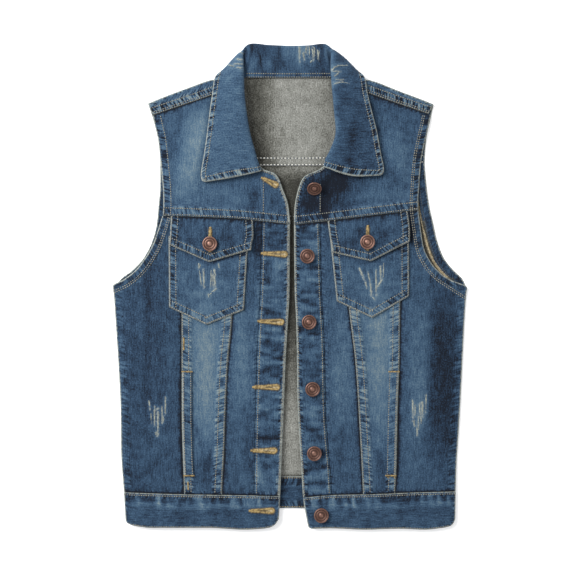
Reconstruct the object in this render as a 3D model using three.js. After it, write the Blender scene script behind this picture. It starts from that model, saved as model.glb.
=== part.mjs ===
// A denim vest laid flat on its back, front up and open down the middle.
// Millimetres: x runs across the garment, y runs up from the hem to the collar, z up from the table.
// Left and right are those of someone who looks down at it with the collar away from them.
import * as THREE from "three";

// Driving sizes
const LENGTH = 560; // hem to the top of the collar
const CLOTH = 1.2; // one layer of washed denim
const PLACKET_THICK = 2.4; // button and buttonhole bands, two layers and their turnings
const WAISTBAND_THICK = 2.8;
const COLLAR_THICK = 2;
const FELL_WIDTH = 11; // felled seams and turned hems
const FELL_RAISE = 0.8;
const FLAP_THICK = 1.6;
const FLAP_LIFT = 0.7; // how far a flap's tip stands off its pocket
const SEAM_GAP = 0.3; // between neighbouring pieces
const LAYER_GAP = 0.3; // between pieces that lie on each other
const LOFT = 2.3; // how far the fronts bulge off the back, inside their edges
const LOFT_REACH = 15; // how quickly that bulge grows from an outer edge
const BUTTON_RADIUS = 8.5;
const BUTTON_HEIGHT = 5;
const BUTTON_FOOT = 3.6; // radius of the part that sits on the cloth
const OVER_PANEL = CLOTH + FELL_RAISE + LAYER_GAP; // from a panel's underside to what lies on it

// Colours by piece, as washed denim and copper look on average
const DENIM = { color: 0x42658a, roughness: 0.9, metalness: 0 };
const FADED_DENIM = { color: 0x7f98a8, roughness: 0.92, metalness: 0 };
const DENIM_INSIDE = { color: 0x9a9a90, roughness: 0.95, metalness: 0 };
const COPPER = { color: 0x8a5a4a, roughness: 0.42, metalness: 0.8 };

// Seams of each front below the chest seam: x of each seam at a height `up` above the hem.
// `outer` is the side seam up to the armpit and the armhole's edge above it.
const LEFT_FRONT = [
  { up: 0, outer: -189, pocketSeam: -121, princess: -79, placket: -42, edge: -13.5 },
  { up: 43, outer: -191.5, pocketSeam: -122, princess: -78, placket: -41, edge: -11 },
  { up: 92, outer: -195, pocketSeam: -124, princess: -75.5, placket: -40.5, edge: -9 },
  { up: 138, outer: -195.5, pocketSeam: -125, princess: -74, placket: -39.5, edge: -7 },
  { up: 190, outer: -198, pocketSeam: -125, princess: -71.5, placket: -38, edge: -5 },
  { up: 236, outer: -201, pocketSeam: -125, princess: -67, placket: -36, edge: -2.5 },
  { up: 272, outer: -203.5, pocketSeam: -125, princess: -65, placket: -34, edge: -0.5 },
  { up: 281, outer: -204.5 },
  { up: 288, outer: -192 },
  { up: 298, outer: -179 },
  { up: 313, outer: -167 },
  { up: 329, outer: -158 },
  { up: 346, outer: -152 },
  { up: 362, outer: -147, pocketSeam: -125, princess: -62, placket: -32, edge: 0 },
];
const RIGHT_FRONT = [
  { up: 0, outer: 190.5, pocketSeam: 120, princess: 85, placket: 50, edge: 21.5 },
  { up: 38, outer: 191, pocketSeam: 121, princess: 84, placket: 48, edge: 15 },
  { up: 72, outer: 192, pocketSeam: 123, princess: 82.5, placket: 46, edge: 13 },
  { up: 118, outer: 195, pocketSeam: 124, princess: 80, placket: 42, edge: 10 },
  { up: 154, outer: 197, pocketSeam: 125, princess: 78, placket: 40.5, edge: 8.5 },
  { up: 195, outer: 199, pocketSeam: 126.5, princess: 75, placket: 40, edge: 8 },
  { up: 244, outer: 201.5, pocketSeam: 127, princess: 69, placket: 38, edge: 7 },
  { up: 272, outer: 203.5, pocketSeam: 127.5, princess: 66, placket: 36.5, edge: 5.5 },
  { up: 279, outer: 204.5 },
  { up: 283, outer: 198 },
  { up: 287, outer: 187 },
  { up: 294, outer: 175.5 },
  { up: 309, outer: 162 },
  { up: 325, outer: 154.5 },
  { up: 346, outer: 151 },
  { up: 370, outer: 148, pocketSeam: 128, princess: 61.5, placket: 34, edge: 4.5 },
];
// Each front yoke. `outer` is the armhole's edge, `edge` is the front edge and then the neckline.
const LEFT_YOKE = [
  { up: 348, outer: -148, edge: 1 },
  { up: 375, outer: -146, edge: -2 },
  { up: 392, outer: -146.5, edge: -8 },
  { up: 405, outer: -147.5, edge: -13 },
  { up: 411, outer: -148, edge: -18 },
  { up: 415, outer: -148.5, edge: -30 },
  { up: 425, outer: -149.5, edge: -38 },
  { up: 448, outer: -152, edge: -48 },
  { up: 470, outer: -157, edge: -57 },
  { up: 478, outer: -158.5, edge: -59.5 },
  { up: 490, edge: -62.5 },
  { up: 507, edge: -65 },
];
const RIGHT_YOKE = [
  { up: 348, outer: 149, edge: 4.5 },
  { up: 368, outer: 148, edge: 5 },
  { up: 380, outer: 148, edge: 6.5 },
  { up: 394, outer: 149, edge: 10 },
  { up: 405, outer: 149.5, edge: 15 },
  { up: 409, outer: 150, edge: 20 },
  { up: 415, outer: 150.5, edge: 34 },
  { up: 425, outer: 151.5, edge: 44 },
  { up: 448, outer: 156, edge: 57 },
  { up: 470, outer: 161, edge: 60 },
  { up: 479, outer: 162.5, edge: 61.5 },
  { up: 490, edge: 63.5 },
  { up: 509, edge: 66 },
];
// The back's outline: the side seams up to the armpits, and the armholes above them.
const BACK = [
  { up: 0, left: -186.5, leftSeam: -60, rightSeam: 60, right: 187 },
  { up: 43, left: -190.5, leftSeam: -62, rightSeam: 62, right: 190 },
  { up: 92, left: -194, right: 192 },
  { up: 138, left: -194.5, leftSeam: -68, rightSeam: 68, right: 195 },
  { up: 236, left: -200, leftSeam: -74, rightSeam: 74, right: 200.5 },
  { up: 276, left: -203, right: 203.5 },
  { up: 288, left: -196, right: 199.5 },
  { up: 298, left: -183, right: 189.5 },
  { up: 313, left: -169, leftSeam: -80, rightSeam: 80, right: 177.5 },
  { up: 334, left: -158.5, right: 169.5 },
  { up: 352, left: -154, right: 165.5 },
  { up: 372, left: -152, right: 161 },
  { up: 398, left: -150, right: 157.5 },
  { up: 424, left: -150, leftSeam: -90, rightSeam: 90, right: 155.5 },
  { up: 450, left: -152.5, right: 157.5 },
  { up: 474, left: -158.5, right: 162.5 },
  { up: 491, left: -164, right: 166 },
];

// Seams that run across: y of each at x
const LEFT_CHEST_SEAM = [
  { across: -152, up: 361.5 },
  { across: -66, up: 358 },
  { across: 2, up: 351.5 },
];
const RIGHT_CHEST_SEAM = [
  { across: 2, up: 350.5 },
  { across: 70, up: 358.5 },
  { across: 152, up: 368.5 },
];
const LEFT_WAIST_SEAM = [
  { across: -193, up: 43 },
  { across: -126, up: 41 },
  { across: -69, up: 40 },
  { across: -9, up: 39 },
];
const RIGHT_WAIST_SEAM = [
  { across: 13, up: 37 },
  { across: 46, up: 40 },
  { across: 94, up: 41 },
  { across: 143, up: 43 },
  { across: 192, up: 44 },
];
const LEFT_HEM = [
  { across: -190, up: 11 },
  { across: -187, up: 7 },
  { across: -178, up: 4 },
  { across: -159, up: 2 },
  { across: -94, up: 2 },
  { across: -52, up: 0 },
  { across: -32, up: 1 },
  { across: -23, up: 2.5 },
  { across: -17, up: 6 },
  { across: -13, up: 12 },
];
const RIGHT_HEM = [
  { across: 20, up: 4 },
  { across: 25, up: 1 },
  { across: 46, up: 1.5 },
  { across: 86, up: 0 },
  { across: 126, up: 1 },
  { across: 155, up: 0 },
  { across: 176, up: 2 },
  { across: 185, up: 4 },
  { across: 189, up: 8 },
  { across: 191, up: 14 },
];
const BACK_HEM = [
  { across: -188, up: 12 },
  { across: -126, up: 17 },
  { across: -14, up: 24 },
  { across: 16, up: 24 },
  { across: 126, up: 16 },
  { across: 188, up: 13 },
];
const BACK_WAIST_SEAM = [
  { across: -192, up: 44 },
  { across: -103, up: 55 },
  { across: -14, up: 61 },
  { across: 16, up: 61 },
  { across: 115, up: 54 },
  { across: 192, up: 45 },
];
const BACK_YOKE_SEAM = [
  { across: -156, up: 423 },
  { across: 0, up: 419.5 },
  { across: 160, up: 423 },
];
// Shoulders: the seam on the front, and the outline that the shoulder makes on the table
const LEFT_SHOULDER_SEAM = [
  { across: -166, up: 474.5 },
  { across: -65, up: 508.5 },
  { across: -60, up: 510.2 },
];
const RIGHT_SHOULDER_SEAM = [
  { across: 60, up: 512.5 },
  { across: 66, up: 510.5 },
  { across: 168, up: 476 },
];
const SHOULDER_LINE = [
  { across: -166, up: 490 },
  { across: -164, up: 491 },
  { across: -122, up: 507.5 },
  { across: -92, up: 517.8 },
  { across: -88.5, up: 518.6 },
  { across: -83, up: 513.5 },
  { across: -72, up: 513 },
  { across: -58, up: 523 },
  { across: 58, up: 523 },
  { across: 72, up: 513 },
  { across: 83, up: 513.5 },
  { across: 88.5, up: 518.3 },
  { across: 95, up: 517 },
  { across: 126, up: 505.5 },
  { across: 166, up: 490 },
  { across: 168, up: 489 },
];

// Pockets and flaps: outer edges at a height, and a pointed lower edge
const POCKETS = [
  {
    side: "left",
    edges: [
      { up: 236, left: -139, right: -54 },
      { up: 319, left: -139.5, right: -49 },
      { up: 350, left: -140, right: -47 },
    ],
    top: 338,
    point: [
      { across: -139, up: 256 },
      { across: -96, up: 236 },
      { across: -53, up: 253 },
    ],
  },
  {
    side: "right",
    edges: [
      { up: 244, left: 56, right: 137 },
      { up: 318, left: 48, right: 137 },
      { up: 352, left: 44.5, right: 135.5 },
    ],
    top: 340,
    point: [
      { across: 54, up: 263 },
      { across: 94.5, up: 244 },
      { across: 137, up: 269 },
    ],
  },
];
const FLAPS = [
  {
    side: "left",
    edges: [
      { up: 306, left: -139.5, right: -45 },
      { up: 328, left: -139, right: -44 },
      { up: 338, left: -138, right: -42 },
      { up: 362, left: -137, right: -43 },
    ],
    point: [
      { across: -139, up: 328 },
      { across: -93, up: 308 },
      { across: -45, up: 322 },
    ],
  },
  {
    side: "right",
    edges: [
      { up: 306, left: 51, right: 137 },
      { up: 320, left: 49, right: 137.5 },
      { up: 342, left: 45, right: 138 },
      { up: 370, left: 42, right: 135 },
    ],
    point: [
      { across: 49, up: 319 },
      { across: 93, up: 309 },
      { across: 138, up: 332 },
    ],
  },
];
// Hand pockets: the welt beside each pocket seam, between its bar tacks
const WELT_WIDTH = 11;
const WELT_BOTTOM = 61;
const WELT_TOP = 183;

// Soft ridges (positive) and troughs of the cloth, each along a line between two points
const FOLDS = [
  { fromX: -176, fromY: 240, toX: -172, toY: 95, width: 16, fade: 30, height: 1.4 },
  { fromX: -143, fromY: 270, toX: -146, toY: 95, width: 17, fade: 40, height: 1.5 },
  { fromX: 141, fromY: 270, toX: 142, toY: 95, width: 17, fade: 40, height: 1.8 },
  { fromX: 177, fromY: 240, toX: 174, toY: 95, width: 15, fade: 30, height: 1.5 },
  { fromX: -98, fromY: 455, toX: -120, toY: 400, width: 16, fade: 20, height: 1.5 },
  { fromX: 112, fromY: 450, toX: 126, toY: 400, width: 16, fade: 20, height: 1.6 },
  { fromX: 2, fromY: 403, toX: 38, toY: 403, width: 9, fade: 10, height: 3 },
];

// Buttons, by the point of the cloth under each
const FRONT_BUTTONS = [
  { across: 28, up: 394, turn: 0.6 },
  { across: 20, up: 315, turn: 0.05 },
  { across: 22, up: 239, turn: 0 },
  { across: 26, up: 162, turn: 0.04 },
  { across: 28, up: 88, turn: 0 },
  { across: 36, up: 17, turn: 0 },
];
const FLAP_BUTTONS = [
  { side: "left", across: -92, up: 329 },
  { side: "right", across: 89, up: 331 },
];

// The collar, section by section from its front end on the left, round the back, to its front end
// on the right. Each section runs from the neck seam up the stand, over the fold and down the leaf
// to the leaf's edge. In front the leaf lies on the yoke; behind the neck it lies under the stand.
const COLLAR = [
  { neck: [-37, 413, 7.6], fold: [-33, 413, 9.5], leaf: [-66, 405, 10.5], edge: [-101, 399.5, 9] },
  { neck: [-40, 421, 7.6], fold: [-36.5, 421, 10], leaf: [-68, 417, 11.5], edge: [-102.5, 408, 9] },
  { neck: [-45, 435, 7.6], fold: [-41, 436, 10.8], leaf: [-69, 434, 12.5], edge: [-99.5, 428, 9] },
  { neck: [-53, 455, 7.6], fold: [-46.5, 456, 11.5], leaf: [-71, 455, 13.5], edge: [-96, 452, 9] },
  { neck: [-60, 480, 7.6], fold: [-50.5, 480, 12], leaf: [-71, 480, 14], edge: [-92.5, 480, 9] },
  { neck: [-64, 500, 7.6], fold: [-53, 502, 12], leaf: [-71.5, 503, 13.5], edge: [-89, 504, 9.2] },
  { neck: [-63, 512, 7.6], fold: [-53.5, 520, 11.5], leaf: [-71, 522, 11.5], edge: [-86.5, 520, 8.6] },
  { neck: [-60, 518, 6.8], fold: [-54, 537, 10], leaf: [-68.8, 535.8, 6.5], edge: [-82, 524.3, 3.6] },
  { neck: [-56, 520.5, 5.6], fold: [-54, 550, 7.5], leaf: [-61.8, 544.8, 3.2], edge: [-75.5, 516, 1] },
  { neck: [-47, 520.5, 5], fold: [-47, 558.35, 4.8], leaf: [-50, 544, 1.4], edge: [-62, 511, 1] },
  { neck: [-24, 520.5, 4.9], fold: [-24, 557.5, 4.2], leaf: [-25, 540, 1.1], edge: [-28, 510, 1] },
  { neck: [0, 520.5, 4.9], fold: [0, 556.5, 4.2], leaf: [0, 538, 1.1], edge: [0, 510, 1] },
  { neck: [22, 520.5, 4.9], fold: [21, 557, 4.2], leaf: [22, 540, 1.1], edge: [26, 510, 1] },
  { neck: [43, 520.5, 5], fold: [41, 558.3, 4.8], leaf: [45, 544, 1.4], edge: [60, 511, 1] },
  { neck: [54, 520.5, 5.6], fold: [47.5, 551, 7.5], leaf: [57.6, 546.4, 3.2], edge: [75.5, 516, 1] },
  { neck: [60, 518, 6.8], fold: [47.5, 537, 10], leaf: [66.4, 537.2, 6.5], edge: [81.3, 523.8, 3.6] },
  { neck: [64, 512, 7.6], fold: [48, 520, 11.5], leaf: [70, 522, 11.5], edge: [86, 520, 8.6] },
  { neck: [66, 500, 7.6], fold: [49.5, 502, 12], leaf: [71, 503, 13.5], edge: [89, 503, 9.4] },
  { neck: [66, 480, 7.6], fold: [51.5, 480, 12], leaf: [73, 481, 14], edge: [94, 482, 9.8] },
  { neck: [63, 455, 7.6], fold: [53, 455, 11.5], leaf: [76, 456, 13.5], edge: [100, 458, 10.2] },
  { neck: [53, 436, 7.6], fold: [47, 437, 11], leaf: [74, 434, 13], edge: [104.5, 433, 10.4] },
  { neck: [46, 424, 7.6], fold: [41, 425, 10.2], leaf: [72, 418, 12], edge: [108, 415, 10.2] },
  { neck: [43, 415, 7.6], fold: [39, 417, 9.5], leaf: [70, 407, 11], edge: [106.5, 407.5, 10] },
];
const COLLAR_ROLL = 2.3; // radius of the fold
const COLLAR_STEPS = 2; // steps between two sections
const COLLAR_CORNER_STEPS = 4; // the same where the leaf turns over the shoulder line
const COLLAR_STEPS_ACROSS = 3; // steps between two points of a section

// Returns the smooth 0 to 1 step of `value` between `from` and `to`.
function ramp(value, from, to) {
  return THREE.MathUtils.smoothstep((value - from) / (to - from), 0, 1);
}

// Returns a function through the rows' `to` column at their `from` column. It doesn't overshoot.
function through(rows, from, to) {
  const known = rows.filter((row) => row[to] !== undefined);
  const at = known.map((row) => row[from]);
  const value = known.map((row) => row[to]);
  const slope = at.slice(1).map((next, i) => (value[i + 1] - value[i]) / (next - at[i]));
  const tangent = at.map((_, i) => {
    if (i === 0) return slope[0];
    if (i === at.length - 1) return slope[i - 1];
    const [before, after] = [slope[i - 1], slope[i]];
    return before * after <= 0 ? 0 : (2 * before * after) / (before + after);
  });
  return (x) => {
    const i = Math.max(0, Math.min(at.length - 2, at.findIndex((next) => next > x) - 1));
    const last = x >= at[at.length - 1] ? at.length - 2 : i;
    const width = at[last + 1] - at[last];
    const t = THREE.MathUtils.clamp((x - at[last]) / width, 0, 1);
    const rise = value[last + 1] - value[last];
    const [a, b] = [tangent[last] * width, tangent[last + 1] * width];
    return value[last] + t * (a + t * (3 * rise - 2 * a - b + t * (a + b - 2 * rise)));
  };
}

// Returns a function of straight lines through the rows.
function straight(rows, from, to) {
  return (x) => {
    const next = rows.findIndex((row) => row[from] > x);
    const i = next < 0 ? rows.length - 2 : Math.max(0, next - 1);
    const share = (x - rows[i][from]) / (rows[i + 1][from] - rows[i][from]);
    return THREE.MathUtils.lerp(rows[i][to], rows[i + 1][to], THREE.MathUtils.clamp(share, 0, 1));
  };
}

const line = (rows) => through(rows, "across", "up");
const seam = (rows, name) => through(rows, "up", name);
const moved = (curve, by) => (t) => curve(t) + by;

// Heights of the cloth

const shoulderLine = line(SHOULDER_LINE);
const backWaistSeam = line(BACK_WAIST_SEAM);
const outlineOf = {
  left: { body: seam(LEFT_FRONT, "outer"), yoke: seam(LEFT_YOKE, "outer") },
  right: { body: seam(RIGHT_FRONT, "outer"), yoke: seam(RIGHT_YOKE, "outer") },
};

// Returns the underside of the back: on the table, but for the collar's leaf under the neck.
function backUnder(x, y) {
  const leaf = COLLAR_THICK + LAYER_GAP;
  return leaf * ramp(Math.abs(x), 115, 94) * ramp(y, 484, 504);
}

// Returns the highest that the back reaches, with its turned hems and its waistband.
function backTop(x, y) {
  const seamHeight = backWaistSeam(x);
  const waistband = (WAISTBAND_THICK - CLOTH) * ramp(y, seamHeight + 55, seamHeight);
  const armholeHem = FELL_RAISE * ramp(y, 262, 278);
  return backUnder(x, y) + CLOTH + Math.max(waistband, armholeHem);
}

// Returns how much of a fold's height is left at a point.
function foldAt(fold, x, y) {
  const [dx, dy] = [fold.toX - fold.fromX, fold.toY - fold.fromY];
  const length = Math.hypot(dx, dy);
  const along = ((x - fold.fromX) * dx + (y - fold.fromY) * dy) / length;
  const aside = ((x - fold.fromX) * dy - (y - fold.fromY) * dx) / length;
  const ends = ramp(along, -fold.fade, fold.fade) * ramp(along, length + fold.fade, length - fold.fade);
  return fold.height * ends * Math.exp(-((aside / fold.width) ** 2));
}

// Returns the underside of the fronts.
function frontUnder(x, y) {
  const side = x < 0 ? "left" : "right";
  const outer = outlineOf[side][y > 362 ? "yoke" : "body"](y);
  const inward = Math.max(0, Math.min(Math.abs(outer) - Math.abs(x), shoulderLine(x) - y));
  const bulge = LOFT * (1 - Math.exp(-inward / LOFT_REACH)) * (1 - 0.85 * ramp(y, 440, 478));
  const folds = FOLDS.reduce((sum, fold) => sum + foldAt(fold, x, y), 0);
  return backTop(x, y) + LAYER_GAP + bulge + folds;
}

// Returns grid stations between two edges, each as a share of the way and a shift in millimetres,
// with a pair at the inner side of a raised band at either end.
function stations(cells, startBand = 0, endBand = 0, extra = []) {
  const step = 1.2;
  const inner = Array.from({ length: cells + 1 }, (_, i) => {
    const share = i / cells;
    const first = startBand ? startBand + step : 0;
    const final = endBand ? endBand + step : 0;
    return { share, shift: first * (1 - share) - final * share };
  });
  const start = startBand ? [{ share: 0, shift: 0 }, { share: 0, shift: startBand }] : [];
  const end = endBand ? [{ share: 1, shift: -endBand }, { share: 1, shift: 0 }] : [];
  return [...start, ...extra, ...inner, ...end];
}

// Returns the stations at which an edge's own rows lie between two seams.
function rowsAt(rows, name, bottom, top) {
  const shares = rows
    .filter((row) => row[name] !== undefined)
    .map((row) => {
      const [low, high] = [bottom(row[name]), top(row[name])];
      return (row.up - low) / (high - low);
    })
    .filter((share) => share > 0.02 && share < 0.98);
  return [0, ...shares, 1].map((share) => ({ share, shift: 0 }));
}

const at = (station, low, high) => low + (high - low) * station.share + station.shift;

// Returns the closed wall between two grids of points, its outer face first.
function wall(outer, inner) {
  const rows = outer.length;
  const columns = outer[0].length;
  const points = [...outer.flat(), ...inner.flat()];
  const front = (i, j) => i * columns + j;
  const back = (i, j) => rows * columns + front(i, j);
  const faces = [];
  const apart = (a, b) => points[a].distanceTo(points[b]);
  const quad = (a, b, c, d) => {
    if (apart(a, c) < apart(b, d)) faces.push(a, b, c, a, c, d);
    else faces.push(b, c, d, b, d, a);
  };
  for (let i = 0; i < rows - 1; i += 1) {
    for (let j = 0; j < columns - 1; j += 1) {
      quad(front(i, j), front(i, j + 1), front(i + 1, j + 1), front(i + 1, j));
      quad(back(i, j), back(i + 1, j), back(i + 1, j + 1), back(i, j + 1));
    }
    const last = columns - 1;
    quad(front(i, 0), front(i + 1, 0), back(i + 1, 0), back(i, 0));
    quad(front(i + 1, last), front(i, last), back(i, last), back(i + 1, last));
  }
  for (let j = 0; j < columns - 1; j += 1) {
    const last = rows - 1;
    quad(front(0, j + 1), front(0, j), back(0, j), back(0, j + 1));
    quad(front(last, j), front(last, j + 1), back(last, j + 1), back(last, j));
  }
  const geometry = new THREE.BufferGeometry();
  const flat = points.flatMap((p) => [p.x, p.y, p.z]);
  geometry.setAttribute("position", new THREE.Float32BufferAttribute(flat, 3));
  geometry.setIndex(faces);
  geometry.computeVertexNormals();
  return geometry;
}

// Returns a piece of cloth that lies between two edges and two seams. `under` gives its underside
// and `thick` its thickness at a point, from the distances to its four sides.
function panel({ left, right, bottom, top, across, along, under, thick }) {
  const grid = along.map((rowStation) =>
    across.map((station) => {
      let [x, y] = [at(station, left(200), right(200)), 200];
      for (let turn = 0; turn < 40; turn += 1) {
        y = at(rowStation, bottom(x), top(x));
        x = at(station, left(y), right(y));
      }
      const from = {
        left: x - left(y),
        right: right(y) - x,
        bottom: y - bottom(x),
        top: top(x) - y,
      };
      return { x, y, from };
    }),
  );
  const lift = (extra) =>
    grid.map((row) =>
      row.map(({ x, y, from }) => {
        const height = under(x, y, from);
        return new THREE.Vector3(x, y, height + (extra ? thick(x, y, from) : 0));
      }),
    );
  return wall(lift(true), lift(false));
}

// Returns the raise of a felled band at a distance from its edge.
const felled = (distance, width = FELL_WIDTH) => FELL_RAISE * ramp(distance, width + 1.1, width + 0.1);

const vest = new THREE.Group();

// Adds a named piece to the vest.
function add(name, geometry, look) {
  const mesh = new THREE.Mesh(geometry, new THREE.MeshStandardMaterial(look));
  mesh.name = name;
  vest.add(mesh);
  return mesh;
}

// The pieces of one front below the chest seam, named from the side to the middle
function addFrontPanels(side, seams, chestSeam, waistSeam) {
  const mirror = side === "left" ? 1 : -1;
  const order = [
    { name: "side", from: "outer", to: "pocketSeam", cells: 8 },
    { name: "wedge", from: "pocketSeam", to: "princess", cells: 4, bands: true, look: FADED_DENIM },
    { name: "centre", from: "princess", to: "placket", cells: 3 },
    { name: "placket", from: "placket", to: "edge", cells: 3 },
  ];
  const bottom = moved(line(waistSeam), SEAM_GAP / 2);
  const top = moved(line(chestSeam), -SEAM_GAP / 2);
  for (const { name, from, to, cells, bands, look } of order) {
    const inset = (which) => (which === "outer" || which === "edge" ? 0 : SEAM_GAP / 2);
    const edges = [
      moved(seam(seams, from), mirror * inset(from)),
      moved(seam(seams, to), -mirror * inset(to)),
    ];
    const [left, right] = mirror > 0 ? edges : edges.reverse();
    const isPlacket = name === "placket";
    const band = bands ? FELL_WIDTH : 0;
    const armhole = name === "side" ? FELL_WIDTH : 0;
    const outerBand = mirror > 0 ? [armhole || band, band] : [band, armhole || band];
    const thick = (x, y, near) => {
      if (isPlacket) return PLACKET_THICK;
      const outerDistance = mirror > 0 ? near.left : near.right;
      if (armhole) return CLOTH + felled(outerDistance) * ramp(y, 272, 284);
      return CLOTH + (band ? Math.max(felled(near.left), felled(near.right)) : 0);
    };
    const rows = name === "side" ? rowsAt(seams, "outer", bottom, top) : stations(17);
    const geometry = panel({
      left,
      right,
      bottom,
      top,
      across: stations(cells, ...outerBand),
      along: rows,
      under: frontUnder,
      thick,
    });
    add(`${name}_${side}`, geometry, look ?? DENIM);
  }
}

const YOKE_ROWS = [0, 0.073, 0.083, 0.16, 0.24, 0.3, 0.34, 0.38, 0.41, 0.45, 0.53, 0.62, 0.73, 0.86, 1];

// A front yoke, with its turned armhole, its band along the chest seam and its placket
function addYoke(side, seams, chestSeam, shoulderSeam) {
  const mirror = side === "left" ? 1 : -1;
  const edges = [seam(seams, "outer"), seam(seams, "edge")];
  const [left, right] = mirror > 0 ? edges : edges.reverse();
  const placketWidth = 32;
  const outer = [FELL_WIDTH, 0];
  const geometry = panel({
    left,
    right,
    bottom: moved(line(chestSeam), SEAM_GAP / 2),
    top: line(shoulderSeam),
    across: stations(8, ...(mirror > 0 ? outer : outer.reverse())),
    along: YOKE_ROWS.map((share) => ({ share, shift: 0 })),
    under: frontUnder,
    thick: (x, y, near) => {
      const [outerDistance, edgeDistance] = mirror > 0 ? [near.left, near.right] : [near.right, near.left];
      const armhole = felled(outerDistance) * ramp(y, 478, 470);
      const overFlap = 1 + 1.2 * ramp(Math.abs(x), 39, 43);
      const chestBand = overFlap * ramp(near.bottom, 13, 11.5);
      const onPlacket = ramp(edgeDistance, placketWidth, placketWidth - 3) * ramp(y, 418, 400);
      const placket = (PLACKET_THICK - CLOTH) * onPlacket;
      return CLOTH + Math.max(armhole, chestBand, placket);
    },
  });
  add(`yoke_front_${side}`, geometry, DENIM);
}

// The strip between the shoulder seam and the fold of the shoulder
function addShoulder(side, seamRows) {
  const mirror = side === "left" ? 1 : -1;
  const outerEnd = straight(
    [
      { up: 474, x: -157.5 * mirror },
      { up: 491, x: mirror > 0 ? -164 : 166 },
    ],
    "up",
    "x",
  );
  const innerEnd = () => -67 * mirror;
  const [left, right] = mirror > 0 ? [outerEnd, innerEnd] : [innerEnd, outerEnd];
  const geometry = panel({
    left,
    right,
    bottom: moved(line(seamRows), SEAM_GAP),
    top: shoulderLine,
    across: stations(6),
    along: stations(3),
    under: frontUnder,
    thick: () => CLOTH + FELL_RAISE,
  });
  add(`shoulder_${side}`, geometry, DENIM);
}

// The waistband of one front
function addWaistband(side, seams, hem, waistSeam) {
  const mirror = side === "left" ? 1 : -1;
  const edges = [seam(seams, "outer"), seam(seams, "edge")];
  const [left, right] = mirror > 0 ? edges : edges.reverse();
  const corners = [0, 0.012, 0.03, 0.07];
  const middle = [0.2, 0.35, 0.5, 0.65, 0.8];
  const shares = [...corners, ...middle, ...corners.map((share) => 1 - share).reverse()];
  const geometry = panel({
    left,
    right,
    bottom: line(hem),
    top: moved(line(waistSeam), -SEAM_GAP / 2),
    across: shares.map((share) => ({ share, shift: 0 })),
    along: stations(3),
    under: frontUnder,
    thick: () => WAISTBAND_THICK,
  });
  add(`waistband_${side}`, geometry, DENIM);
}

// A chest pocket, flat on the front with a pointed lower edge
function addPocket({ side, edges, top, point }) {
  const geometry = panel({
    left: seam(edges, "left"),
    right: seam(edges, "right"),
    bottom: straight(point, "across", "up"),
    top: () => top,
    across: stations(9),
    along: stations(6),
    under: (x, y) => frontUnder(x, y) + OVER_PANEL + 0.1,
    thick: () => CLOTH,
  });
  add(`pocket_${side}`, geometry, DENIM);
}

// A pocket flap: it comes from under the yoke's band and rides over the pocket's mouth
function addFlap({ side, edges, point }, chestSeam) {
  const overPocket = CLOTH + LAYER_GAP;
  const geometry = panel({
    left: seam(edges, "left"),
    right: seam(edges, "right"),
    bottom: straight(point, "across", "up"),
    top: moved(line(chestSeam), -SEAM_GAP),
    across: stations(6),
    along: [0, 0.25, 0.5, 0.7, 0.85, 1].map((share) => ({ share, shift: 0 })),
    under: (x, y, from) => {
      const lift = overPocket * ramp(from.top, 2, 13) + FLAP_LIFT * ramp(from.bottom, 22, 0);
      return frontUnder(x, y) + OVER_PANEL + lift;
    },
    thick: () => FLAP_THICK,
  });
  add(`flap_${side}`, geometry, DENIM);
}

// The welt of a hand pocket, on the wedge beside the pocket seam
function addWelt(side, seams) {
  const mirror = side === "left" ? 1 : -1;
  const outer = moved(seam(seams, "pocketSeam"), mirror);
  const inner = moved(seam(seams, "pocketSeam"), mirror * (1 + WELT_WIDTH));
  const [left, right] = mirror > 0 ? [outer, inner] : [inner, outer];
  const geometry = panel({
    left,
    right,
    bottom: () => WELT_BOTTOM,
    top: () => WELT_TOP,
    across: stations(2),
    along: stations(8),
    under: (x, y) => frontUnder(x, y) + OVER_PANEL + 0.1,
    thick: () => CLOTH,
  });
  add(`welt_${side}`, geometry, FADED_DENIM);
}

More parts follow.
